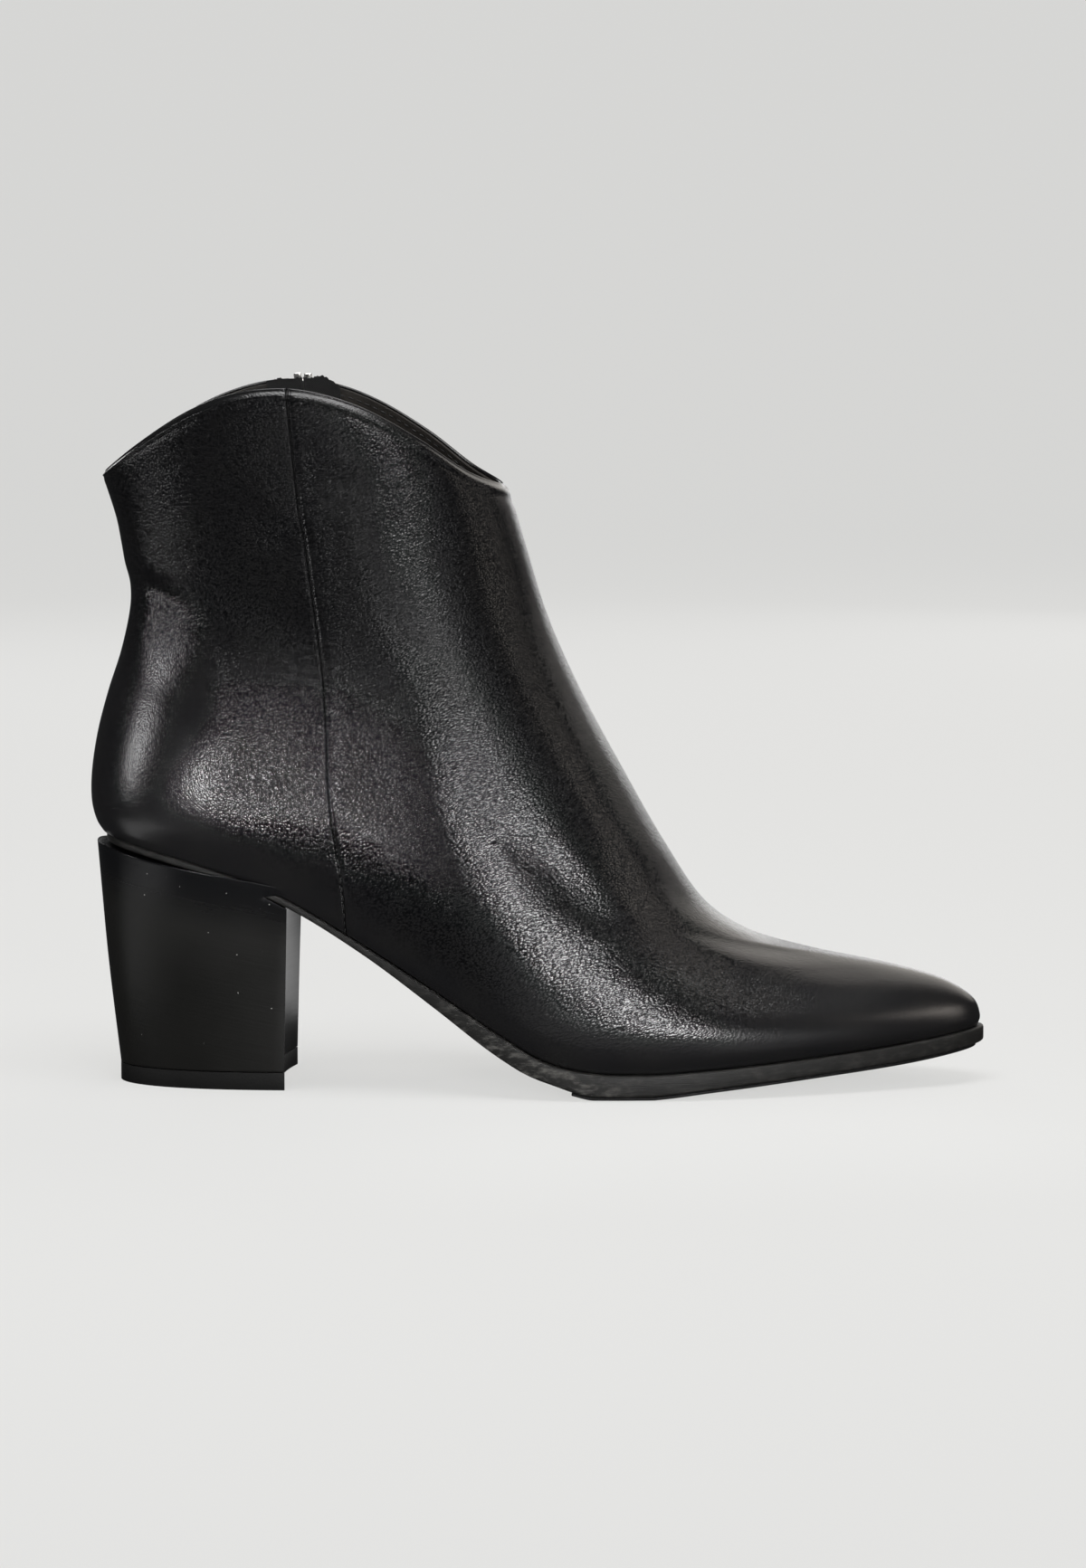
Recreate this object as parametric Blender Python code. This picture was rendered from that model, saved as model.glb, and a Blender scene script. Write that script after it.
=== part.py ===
"""A western ankle boot for the right foot: hollow upper, sole, stacked heel and a zip on the inner side.

The toe points along +X, the outer side of the foot is -Y and the boot stands on z = 0. Sizes and tables
are in millimetres, or in hundredths of a driving dimension where a column says so. Meshes are in metres.
"""

from collections import namedtuple

import bmesh
import bpy
import numpy as np
from mathutils import Vector

METRES = 0.001

# Driving dimensions of the boot
LENGTH = 256.6
BALL_WIDTH = 80.0
HEEL_HEIGHT = 72.0
BACK_SEAM = 102.8
TOE_HEIGHT = 16.0
FRONT_LINE = 156.4
COLLAR_RISE = 26.4
WALL = 2.0
GAP = 0.3

# Sole, tread, insole and heel
TREAD = 0.9
TREAD_BACK = 11.0
TREAD_CLEAR = 2.0
TREAD_LEAD = 16.0
TREAD_INSET = 2.2
SOLE_EDGE_ROUND = 0.7
INSOLE = 2.6
SEAT_CLEARANCE = 0.9
TOP_PIECE = 5.0
BREAST_HOLLOW = 3.0
BREAST_CORNER = 0.2
BREAST_REACH = 1.15
BREAST_CLEAR = 30.0
SEAT_CUT = 36.0
HEEL_SQUARENESS = 2.4

# Side seam and zip
SEAM_WIDTH = 1.8
SEAM_DEPTH = 0.7
SLOT_WIDTH = 8.6
SLOT_LEVEL = 10 / 26
TAPE_REACH = 11.0
TAPE = 0.7
TAPE_FOOT = 0.02
TAPE_END = 1.016
CHAIN_WIDTH = 5.0
CHAIN_FOOT = 0.006
SLIDER_LENGTH = 9.0
SLIDER_WIDTH = 7.0
SLIDER_PROUD = 0.8
BRIDGE = 0.8
BRIDGE_SPAN = 6.0
BRIDGE_WIDTH = 2.0
BRIDGE_OPENING = 1.4
PULL = 0.8
PULL_LENGTH = 24.0
PULL_WIDTH = 5.0
PULL_WINDOW = 4.4
PULL_TIP = 0.75

# The upper in sections, from the edge on the sole up to the collar. The x columns are hundredths of LENGTH.
# back_z and front_z are hundredths of the back seam and of the front line. sag and rise are shares of the
# sole's sag and of the collar's scallop, and seam is where along the section the side seam crosses. heel to
# toe are half widths, as hundredths of half of BALL_WIDTH, at WIDTH_STATIONS along the section. The two
# radii round its ends.
Section = namedtuple(
    "Section",
    "back_x back_z front_x front_z sag rise seam "
    "back_radius heel waist instep joint vamp toe tip_radius",
)
SECTIONS = (
    Section(-48.7, 0.0, 49.3, 0.0, 1.00, 0.00, 0.285, 23.0, 65.0, 71.0, 95.5, 91.5, 71.5, 43.0, 9.0),
    Section(-49.5, 3.4, 49.5, 1.9, 0.95, 0.00, 0.290, 24.5, 68.0, 76.0, 100.5, 96.0, 76.0, 46.0, 9.0),
    Section(-50.0, 9.2, 48.6, 5.1, 0.88, 0.00, 0.296, 25.5, 71.8, 81.0, 103.5, 96.5, 74.0, 44.0, 7.5),
    Section(-49.9, 17.5, 45.2, 8.5, 0.78, 0.00, 0.303, 25.0, 73.3, 85.0, 103.0, 91.5, 66.0, 37.5, 6.0),
    Section(-49.2, 28.2, 39.4, 11.2, 0.66, 0.00, 0.312, 23.0, 71.8, 86.5, 101.5, 90.0, 61.0, 30.5, 4.6),
    Section(-48.0, 39.4, 32.0, 13.6, 0.52, 0.01, 0.324, 20.0, 67.5, 86.0, 99.0, 92.5, 66.0, 26.5, 3.6),
    Section(-46.6, 50.1, 24.9, 16.5, 0.38, 0.05, 0.338, 17.0, 61.5, 83.5, 96.0, 93.5, 77.0, 41.5, 7.0),
    Section(-45.6, 61.3, 18.9, 22.6, 0.24, 0.14, 0.356, 15.0, 55.8, 80.0, 93.0, 90.3, 82.0, 53.5, 16.0),
    Section(-45.5, 68.6, 14.2, 33.7, 0.12, 0.27, 0.377, 14.0, 53.0, 77.0, 90.0, 86.0, 77.5, 57.0, 23.0),
    Section(-46.1, 74.9, 9.6, 47.0, 0.04, 0.42, 0.400, 14.0, 52.0, 75.0, 86.5, 82.0, 73.0, 53.0, 23.0),
    Section(-46.5, 80.7, 5.0, 61.1, 0.00, 0.58, 0.422, 14.0, 51.3, 74.0, 83.0, 78.0, 68.5, 49.0, 21.5),
    Section(-47.0, 87.1, 1.2, 75.1, 0.00, 0.74, 0.442, 14.5, 51.0, 73.3, 80.5, 75.0, 65.0, 45.5, 20.0),
    Section(-47.9, 94.4, -1.4, 88.9, 0.00, 0.88, 0.462, 15.5, 50.5, 73.3, 79.0, 73.3, 63.0, 43.5, 19.0),
    Section(-48.7, 100.0, -3.4, 100.0, 0.00, 1.00, 0.480, 16.5, 50.5, 73.5, 78.3, 72.3, 62.0, 42.5, 18.5),
)
WIDTH_STATIONS = (0.0, 0.12, 0.32, 0.54, 0.70, 0.82, 0.93, 1.0)

# The edge where upper and sole meet, from the heel to the toe: its height, the thickness of all that is
# under it and how far the sole stands out from the upper.
SoleRow = namedtuple("SoleRow", "x height thickness edge")
SOLE_ROWS = (
    SoleRow(-125.0, 72.0, 2.6, -1.0),
    SoleRow(-110.0, 68.6, 2.6, -1.0),
    SoleRow(-95.0, 64.6, 2.6, -1.0),
    SoleRow(-70.0, 55.2, 2.7, -0.6),
    SoleRow(-50.0, 43.6, 3.0, 0.2),
    SoleRow(-28.0, 29.9, 5.0, 0.8),
    SoleRow(-10.0, 18.5, 6.6, 1.2),
    SoleRow(3.0, 11.3, 6.7, 1.5),
    SoleRow(16.0, 8.2, 8.1, 1.5),
    SoleRow(30.0, 7.6, 7.8, 1.5),
    SoleRow(52.0, 8.7, 6.8, 1.5),
    SoleRow(80.0, 10.9, 6.3, 1.5),
    SoleRow(108.0, 13.6, 6.3, 1.5),
    SoleRow(126.6, 16.0, 6.0, 1.6),
)

# The sideways curve of the foot along the boot
SwingRow = namedtuple("SwingRow", "x offset")
SWING = (
    SwingRow(-128.0, 2.2),
    SwingRow(-90.0, 2.2),
    SwingRow(-42.0, 0.4),
    SwingRow(13.0, -0.2),
    SwingRow(46.0, 1.6),
    SwingRow(89.0, 5.0),
    SwingRow(127.0, 7.2),
)

# The collar's scallop along its chord, as a share of COLLAR_RISE
ScallopRow = namedtuple("ScallopRow", "share rise")
SCALLOP = (
    ScallopRow(0.0, 0.0),
    ScallopRow(0.10, 0.345),
    ScallopRow(0.25, 0.765),
    ScallopRow(0.47, 1.0),
    ScallopRow(0.65, 0.84),
    ScallopRow(0.80, 0.50),
    ScallopRow(0.93, 0.13),
    ScallopRow(1.0, 0.0),
)

# The heel in plan at shares of the way up, and the height of its rim along the seat
HeelRow = namedtuple("HeelRow", "share back_x breast_x half_width")
HEEL_ROWS = (
    HeelRow(0.0, -120.3, -71.3, 24.8),
    HeelRow(0.5, -123.9, -70.7, 26.3),
    HeelRow(0.85, -125.8, -70.2, 28.0),
    HeelRow(1.0, -126.6, -70.0, 29.2),
)
RimRow = namedtuple("RimRow", "x height")
RIM_ROWS = (
    RimRow(-126.5, 69.2),
    RimRow(-112.0, 65.7),
    RimRow(-98.0, 63.1),
    RimRow(-85.0, 61.0),
    RimRow(-76.0, 59.1),
    RimRow(-72.0, 57.2),
    RimRow(-69.5, 53.8),
)

# Steps of the meshes
LEVELS = 27
BACK_STEPS = 11
FRONT_STEPS = 22
SOLE_STEPS = 46
HEEL_STEPS = 12
BREAST_STEPS = 8
HEEL_LEVELS = (0.0, 0.3, 0.6, 0.82, 1.0)
ZIP_STEPS = 13
TAPE_STEPS = 3
CHAIN_STEPS = 2
SEARCH_STEPS = 400
SMALL_STEP = 0.002


# Curves through the tables
def smooth(knots, values, at):
    """The cubic curve through values at knots, read at `at`. Values may have several columns."""
    knots = np.asarray(knots, float)
    values = np.asarray(values, float)
    at = np.asarray(at, float)
    slopes = np.gradient(values, knots, axis=0)
    left = np.clip(np.searchsorted(knots, at) - 1, 0, len(knots) - 2)
    span = knots[left + 1] - knots[left]
    t = (at - knots[left]) / span
    if values.ndim > 1:
        t = t[..., None]
        span = span[..., None]
    ease = t * t * (3 - 2 * t)
    rise = span * (slopes[left] * t * (1 - t) ** 2 - slopes[left + 1] * t * t * (1 - t))
    return values[left] * (1 - ease) + values[left + 1] * ease + rise


def column(rows, name):
    return np.array([getattr(row, name) for row in rows])


def read(rows, name, at):
    """A table's column, read at a place along its first column."""
    return smooth(column(rows, rows[0]._fields[0]), column(rows, name), at)


def sole_top(x):
    return read(SOLE_ROWS, "height", x)


def standing_height(x):
    """The underside of sole and tread together. It lies flat on the floor under the ball of the foot."""
    return np.maximum(sole_top(x) - read(SOLE_ROWS, "thickness", x), 0.0)


def sole_bottom(x):
    """The sole's own underside. Under the forefoot it leaves room for the tread."""
    into_tread = np.clip((x - TREAD_BACK + TREAD_LEAD) / (TREAD_LEAD - TREAD_CLEAR), 0, 1)
    return standing_height(x) + (TREAD + GAP) * into_tread**2 * (3 - 2 * into_tread)


# The upper's outer face
def section_at(level):
    """The section at a level between 0 on the sole and 1 at the collar."""
    row = smooth(np.linspace(0, 1, len(SECTIONS)), np.array(SECTIONS), level)
    cut = Section(*row)
    return cut._replace(
        back_x=cut.back_x / 100 * LENGTH,
        front_x=cut.front_x / 100 * LENGTH,
        back_z=HEEL_HEIGHT + cut.back_z / 100 * BACK_SEAM,
        front_z=TOE_HEIGHT + cut.front_z / 100 * FRONT_LINE,
    )


def sole_sag(share):
    """How far the edge on the sole lies above or below its own chord."""
    low = section_at(0.0)
    x = low.back_x + (low.front_x - low.back_x) * share
    return sole_top(x) - (low.back_z + (low.front_z - low.back_z) * share)


def section_points(cut, angle, side):
    """Points of a section from back, angle 0, to front, angle pi, on side -1 (outer) or +1 (inner)."""
    share = (1 - np.cos(angle)) / 2
    chord = cut.front_x - cut.back_x
    widths = np.array([cut.heel, cut.waist, cut.instep, cut.joint, cut.vamp, cut.toe])
    half_widths = widths / 100 * BALL_WIDTH / 2
    inner_stations = np.array(WIDTH_STATIONS[1:-1])
    fullness = np.concatenate(
        (
            [np.sqrt(cut.back_radius * chord / 2)],
            half_widths / (2 * np.sqrt(inner_stations * (1 - inner_stations))),
            [np.sqrt(cut.tip_radius * chord / 2)],
        )
    )
    x = cut.back_x + chord * share
    y = read(SWING, "offset", x) + side * np.sin(angle) * smooth(WIDTH_STATIONS, fullness, share)
    z = cut.back_z + (cut.front_z - cut.back_z) * share + cut.sag * sole_sag(share)
    z = z + cut.rise * COLLAR_RISE * read(SCALLOP, "rise", share)
    return np.stack((x, y, z), axis=-1)


def ring(level, stations, side):
    """Points at one level. Station 0 is the back seam, 1 the side seam and 2 the front."""
    cut = section_at(level)
    seam_angle = np.arccos(1 - 2 * cut.seam)
    stations = np.asarray(stations, float)
    past_seam = seam_angle + (stations - 1) * (np.pi - seam_angle)
    return section_points(cut, np.where(stations < 1, stations * seam_angle, past_seam), side)


def skin(level, stations, side, depth=0.0):
    """Points at one level, sunk into the wall by depth, which may differ from station to station."""
    stations = np.asarray(stations, float)
    along = ring(level, stations + SMALL_STEP, side) - ring(level, stations - SMALL_STEP, side)
    up = ring(level + SMALL_STEP, stations, side) - ring(level - SMALL_STEP, stations, side)
    outward = -side * np.cross(along, up)
    outward /= np.linalg.norm(outward, axis=-1, keepdims=True)
    return ring(level, stations, side) - outward * np.broadcast_to(depth, stations.shape)[:, None]


def beside_seam(level, offset, side):
    """The station that lies offset millimetres in front of the side seam, or behind it if negative."""
    step = np.copysign(SMALL_STEP, offset)
    here, there = ring(level, [1.0, 1.0 + step], side)
    return 1.0 + offset / np.linalg.norm(there - here) * SMALL_STEP


# Meshes
def add_object(name, mesh_edit, material, origin=(0, 0, 0)):
    """An object from a bmesh in millimetres, moved so that its own origin is at `origin`."""
    mesh_edit.normal_update()
    bmesh.ops.recalc_face_normals(mesh_edit, faces=mesh_edit.faces)
    for vertex in mesh_edit.verts:
        vertex.co = (vertex.co - Vector(origin)) * METRES
    for face in mesh_edit.faces:
        face.smooth = True
    mesh = bpy.data.meshes.new(name)
    mesh_edit.to_mesh(mesh)
    mesh_edit.free()
    made = bpy.data.objects.new(name, mesh)
    made.location = [value * METRES for value in origin]
    bpy.context.scene.collection.objects.link(made)
    if material:
        mesh.materials.append(material)
    return made


def add_helper(name, mesh_edit):
    helper = add_object(name, mesh_edit, None)
    helper.hide_render = True
    helper.display_type = "WIRE"
    return helper


def add_boolean(target, other, operation):
    modifier = target.modifiers.new(other.name, "BOOLEAN")
    modifier.object = other
    modifier.operation = operation
    modifier.solver = "EXACT"


def shell(outer, inner, keep, closed):
    """A wall between two grids of points, made of the cells to keep. Closed grids join round."""
    rows, columns = outer.shape[:2]
    wall = bmesh.new()
    outer_points = [[wall.verts.new(point) for point in line] for line in outer]
    inner_points = [[wall.verts.new(point) for point in line] for line in inner]

    def kept(i, j):
        if closed:
            j %= columns
        return 0 <= i < keep.shape[0] and 0 <= j < keep.shape[1] and keep[i, j]

    for i, j in zip(*np.nonzero(keep)):
        right = (j + 1) % columns
        corners = ((i, j), (i, right), (i + 1, right), (i + 1, j))
        neighbours = ((i - 1, j), (i, j + 1), (i + 1, j), (i, j - 1))
        wall.faces.new([outer_points[a][b] for a, b in corners])
        wall.faces.new([inner_points[a][b] for a, b in reversed(corners)])
        for k, neighbour in enumerate(neighbours):
            if not kept(*neighbour):
                (a, b), (c, d) = corners[k], corners[(k + 1) % 4]
                over, under = outer_points, inner_points
                wall.faces.new((over[c][d], over[a][b], under[a][b], under[c][d]))
    loose = [vertex for vertex in wall.verts if not vertex.link_faces]
    bmesh.ops.delete(wall, geom=loose, context="VERTS")
    return wall


def loft(loops, capped_pairs):
    """A closed solid through loops. Its ends are ladders between a loop's halves, or one face each."""
    solid = bmesh.new()
    rings = [[solid.verts.new(point) for point in loop] for loop in loops]
    count = len(rings[0])
    for low, high in zip(rings, rings[1:]):
        for j in range(count):
            k = (j + 1) % count
            solid.faces.new((low[j], low[k], high[k], high[j]))
    for end in (rings[0], rings[-1]):
        if capped_pairs:
            for j in range(count // 2 - 1):
                solid.faces.new((end[j], end[j + 1], end[count - 2 - j], end[count - 1 - j]))
        else:
            solid.faces.new(end)
    return solid


def foot_outline(first_angle=0.0, last_angle=np.pi):
    """The upper's edge on the sole as a loop: outer side from back to front, then the inner side back."""
    half_step = (last_angle - first_angle) / SOLE_STEPS / 2
    start = first_angle + (half_step if first_angle == 0 else 0)
    angles = np.linspace(start, last_angle - half_step, SOLE_STEPS)
    edge = section_at(0.0)
    return np.concatenate((section_points(edge, angles, -1), section_points(edge, angles, 1)[::-1]))


def grown(loop, by):
    """The loop moved outward in plan by a distance that may differ from point to point."""
    along = np.roll(loop, -1, axis=0) - np.roll(loop, 1, axis=0)
    outward = np.stack((along[:, 1], -along[:, 0]), axis=-1)
    outward /= np.linalg.norm(outward, axis=1, keepdims=True)
    result = loop.copy()
    result[:, :2] += outward * np.broadcast_to(by, len(loop))[:, None]
    return result


def slab(outline, grow, top, bottom, rounding):
    """A slab under the foot between two heights that follow its length, with its edges rounded off."""
    full = grown(outline, grow)
    tight = grown(outline, np.asarray(grow) - rounding)

    def at_height(loop, height, lift):
        placed = loop.copy()
        placed[:, 2] = height(full[:, 0]) + lift
        return placed

    loops = (
        at_height(tight, bottom, 0),
        at_height(full, bottom, rounding),
        at_height(full, top, -rounding),
        at_height(tight, top, 0),
    )
    return loft(loops, capped_pairs=True)


def material(name, colour, roughness, metallic=0.0):
    made = bpy.data.materials.new(name)
    made.use_nodes = True
    shader = made.node_tree.nodes["Principled BSDF"]
    shader.inputs["Base Color"].default_value = (*colour, 1.0)
    shader.inputs["Roughness"].default_value = roughness
    shader.inputs["Metallic"].default_value = metallic
    return made


# The scene starts empty
for old in list(bpy.data.objects):
    bpy.data.objects.remove(old)

BLACK_LEATHER = material("black_leather", (0.012, 0.012, 0.013), 0.38)
SOLE_LEATHER = material("sole_leather", (0.030, 0.029, 0.028), 0.6)
HEEL_STACK = material("heel_stack", (0.014, 0.014, 0.015), 0.4)
RUBBER = material("black_rubber", (0.020, 0.020, 0.020), 0.75)
INSOLE_LEATHER = material("insole_leather", (0.060, 0.052, 0.045), 0.7)
ZIP_TAPE = material("zip_tape", (0.015, 0.015, 0.016), 0.9)
ZIP_METAL = material("zip_metal", (0.62, 0.61, 0.58), 0.3, 1.0)


# Outsole, tread and insole
def make_sole():
    outline = foot_outline()
    edge = read(SOLE_ROWS, "edge", outline[:, 0])
    sole = slab(outline, edge, lambda x: sole_top(x) - GAP, sole_bottom, SOLE_EDGE_ROUND)
    add_object("outsole", sole, SOLE_LEATHER)

    low = section_at(0.0)
    share = (TREAD_BACK - low.back_x) / (low.front_x - low.back_x)
    front = foot_outline(np.arccos(1 - 2 * share))
    inset = read(SOLE_ROWS, "edge", front[:, 0]) - TREAD_INSET
    inset[0] = inset[-1] = 0.0
    tread = slab(front, inset, lambda x: standing_height(x) + TREAD, standing_height, TREAD / 3)
    add_object("forepart_tread", tread, RUBBER)

    inside = -(WALL + 2 * GAP)
    insole = slab(outline, inside, lambda x: sole_top(x) + INSOLE, sole_top, SOLE_EDGE_ROUND)
    add_object("insole", insole, INSOLE_LEATHER)


# Heel block and its rubber top piece
def heel_loop(share, height):
    """The heel in plan at a share of its height: round at the back, straight at the breast."""
    back_x = read(HEEL_ROWS, "back_x", share)
    breast_x = read(HEEL_ROWS, "breast_x", share)
    half = read(HEEL_ROWS, "half_width", share)
    turn = np.linspace(np.pi / 4 / HEEL_STEPS, np.pi / 2, HEEL_STEPS)
    power = 2 / HEEL_SQUARENESS
    x = breast_x - (breast_x - back_x) * np.cos(turn).clip(0) ** power
    y = half * np.sin(turn) ** power
    loop_x = np.concatenate((x, x[::-1]))
    loop_y = np.concatenate((-y, y[::-1])) + SWING[0].offset
    return np.stack((loop_x, loop_y, height(loop_x) + 0 * loop_x), axis=-1)


def breast_loop(share, z):
    """The hollow in front of the breast at one height, a little wider than the heel."""
    breast_x = read(HEEL_ROWS, "breast_x", share)
    half = read(HEEL_ROWS, "half_width", share)
    across = np.linspace(-BREAST_REACH, BREAST_REACH, BREAST_STEPS + 1)
    x = breast_x + BREAST_CORNER - BREAST_HOLLOW * (1 - across**2)
    x = np.concatenate((x, [breast_x + BREAST_CLEAR] * 2))
    y = half * np.concatenate((across, [BREAST_REACH, -BREAST_REACH])) + SWING[0].offset
    return np.stack((x, y, z + 0 * x), axis=-1)


def make_heel():
    base = TOP_PIECE + GAP

    def height_at(share):
        return lambda x: base + (read(RIM_ROWS, "height", x) - base) * share

    floor_loop = heel_loop(0.0, lambda x: 0.0)
    top_piece = loft((floor_loop, heel_loop(0.0, lambda x: TOP_PIECE)), capped_pairs=True)
    lift = add_object("heel_top_piece", top_piece, RUBBER)
    block = loft([heel_loop(share, height_at(share)) for share in HEEL_LEVELS], capped_pairs=True)
    heel = add_object("heel_block", block, HEEL_STACK)

    hollow_loops = (breast_loop(0.0, -GAP), breast_loop(0.0, base), breast_loop(1.0, HEEL_HEIGHT))
    breast = add_helper("breast_cutter", loft(hollow_loops, capped_pairs=False))
    seat = slab(
        foot_outline(last_angle=np.pi / 2),
        SEAT_CLEARANCE,
        lambda x: sole_top(x) + SEAT_CUT,
        lambda x: sole_bottom(x) - GAP,
        SOLE_EDGE_ROUND,
    )
    add_boolean(lift, breast, "DIFFERENCE")
    add_boolean(heel, breast, "DIFFERENCE")
    add_boolean(heel, add_helper("seat_cutter", seat), "DIFFERENCE")


# Upper: one hollow wall, with a seam groove on the outer side and the zip's slot on the inner side
def upper_ring(level, depth):
    seam = [beside_seam(level, offset, -1) for offset in (-SEAM_WIDTH / 2, SEAM_WIDTH / 2)]
    slot = [beside_seam(level, offset, 1) for offset in (-SLOT_WIDTH / 2, SLOT_WIDTH / 2)]
    outer_side = np.concatenate(
        (np.linspace(0, seam[0], BACK_STEPS + 1), [1.0], np.linspace(seam[1], 2, FRONT_STEPS + 1))
    )
    inner_side = np.concatenate(
        (np.linspace(0, slot[0], BACK_STEPS + 1)[1:], np.linspace(slot[1], 2, FRONT_STEPS + 1)[:-1])
    )
    groove = np.where(outer_side == 1.0, SEAM_DEPTH, 0.0) if depth == 0 else 0.0
    return np.concatenate(
        (skin(level, outer_side, -1, depth + groove), skin(level, inner_side, 1, depth)[::-1])
    )


def make_upper():
    levels = np.linspace(0, 1, LEVELS)
    outer = np.stack([upper_ring(level, 0.0) for level in levels])
    inner = np.stack([upper_ring(level, WALL) for level in levels])
    inner[0, :, 2] = sole_top(inner[0, :, 0])
    keep = np.ones((LEVELS - 1, outer.shape[1]), bool)
    slot_column = outer.shape[1] - BACK_STEPS - 1
    keep[levels[:-1] > SLOT_LEVEL - SMALL_STEP, slot_column] = False
    add_object("upper", shell(outer, inner, keep, closed=True), BLACK_LEATHER)


# Zip: two tapes behind the slot, the closed chain in it, the slider at its top and the pull tab that swings
def zip_strip(levels, first, last, steps, outer_depth, inner_depth):
    """A strip of the inner side between two offsets from the zip's line and two depths."""
    grids = []
    for depth in (outer_depth, inner_depth):
        lines = []
        for level in levels:
            edges = [beside_seam(level, offset, 1) for offset in (first, last)]
            lines.append(skin(level, np.linspace(*edges, steps + 1), 1, depth))
        grids.append(np.stack(lines))
    keep = np.ones((len(levels) - 1, steps), bool)
    return shell(grids[0], grids[1], keep, closed=False)


def zip_frame(level):
    """The middle of the zip at a level and its directions: across to the front, up along it and outward."""
    middle = skin(level, [1.0], 1)[0]
    up = ring(level + SMALL_STEP, [1.0], 1)[0] - ring(level - SMALL_STEP, [1.0], 1)[0]
    out = middle - skin(level, [1.0], 1, 1.0)[0]
    up /= np.linalg.norm(up)
    across = np.cross(up, out)
    return middle, np.stack((across, up, out))


def level_below_collar(distance):
    """The level that lies this far below the collar along the zip."""
    top = ring(1.0, [1.0], 1)[0]
    levels = np.linspace(1.0, SLOT_LEVEL, SEARCH_STEPS)
    drop = [np.linalg.norm(ring(level, [1.0], 1)[0] - top) for level in levels]
    return float(np.interp(distance, drop, levels))


def placed(frame, points):
    """Points given across, up and out from the middle of a zip frame."""
    middle, directions = frame
    return middle + np.asarray(points) @ directions


def box(frame, low, high):
    solid = bmesh.new()
    bmesh.ops.create_cube(solid, size=1.0)
    low, high = np.asarray(low), np.asarray(high)
    for vertex in solid.verts:
        vertex.co = placed(frame, low + (np.array(vertex.co) + 0.5) * (high - low))
    return solid


def make_zip_strips():
    behind = WALL + GAP
    tape_levels = np.linspace(SLOT_LEVEL - TAPE_FOOT, TAPE_END, ZIP_STEPS + 1)
    back_tape = zip_strip(tape_levels, -TAPE_REACH, -GAP / 2, TAPE_STEPS, behind, behind + TAPE)
    add_object("zip_tape_back", back_tape, ZIP_TAPE)
    front_tape = zip_strip(tape_levels, GAP / 2, TAPE_REACH, TAPE_STEPS, behind, behind + TAPE)
    add_object("zip_tape_front", front_tape, ZIP_TAPE)
    chain_top = level_below_collar(SLIDER_LENGTH + GAP)
    chain_levels = np.linspace(SLOT_LEVEL + CHAIN_FOOT, chain_top, ZIP_STEPS + 1)
    chain = zip_strip(chain_levels, -CHAIN_WIDTH / 2, CHAIN_WIDTH / 2, CHAIN_STEPS, GAP, WALL)
    add_object("zip_chain", chain, ZIP_METAL)


def make_slider():
    frame = zip_frame(level_below_collar(SLIDER_LENGTH / 2))
    half_length = SLIDER_LENGTH / 2 - GAP
    half_width = SLIDER_WIDTH / 2
    body = box(frame, (-half_width, -half_length, GAP - WALL), (half_width, half_length, SLIDER_PROUD))
    slider = add_object("zip_slider", body, ZIP_METAL)

    def arch(half_span, out):
        return box(frame, (-BRIDGE_WIDTH / 2, -half_span, 0), (BRIDGE_WIDTH / 2, half_span, out))

    bridge_top = SLIDER_PROUD + BRIDGE_OPENING + BRIDGE
    opening = box(
        frame,
        (-BRIDGE_WIDTH, BRIDGE - BRIDGE_SPAN / 2, SLIDER_PROUD),
        (BRIDGE_WIDTH, BRIDGE_SPAN / 2 - BRIDGE, SLIDER_PROUD + BRIDGE_OPENING),
    )
    add_boolean(slider, add_helper("bridge", arch(BRIDGE_SPAN / 2, bridge_top)), "UNION")
    add_boolean(slider, add_helper("bridge_opening", opening), "DIFFERENCE")
    return frame


def make_pull(frame):
    """A flat tab with a window. The bar above the window lies under the slider's bridge and is its axis."""
    out = SLIDER_PROUD + BRIDGE_OPENING / 2
    half_window = BRIDGE_WIDTH / 2 + GAP
    half_width = PULL_WIDTH / 2
    across = np.array((-half_width, -half_window, half_window, half_width))
    up = np.array((PULL / 2, -PULL / 2, -PULL_WINDOW, PULL / 2 - PULL_LENGTH, -PULL_LENGTH))
    narrowing = np.array((1.0, 1.0, 1.0, 1.0, PULL_TIP))
    faces = []
    for side in (1, -1):
        points = [[(a * n, u, out + side * PULL / 2) for a in across] for u, n in zip(up, narrowing)]
        faces.append(placed(frame, points))
    keep = np.ones((len(up) - 1, len(across) - 1), bool)
    keep[1, 1] = False
    hinge = placed(frame, (0, 0, out))
    add_object("zip_pull", shell(faces[0], faces[1], keep, closed=False), ZIP_METAL, hinge)


make_sole()
make_heel()
make_upper()
make_zip_strips()
make_pull(make_slider())
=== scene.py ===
"""The looks of a western ankle boot: grained black leather, a satin block heel and a zip on the inner side.

The toe points along +X, the outer side of the foot is -Y and the boot stands on z = 0. Tables are in
millimetres, or in hundredths of a driving dimension where a column says so. Meshes are in metres.
"""

from collections import namedtuple
from functools import cache

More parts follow.
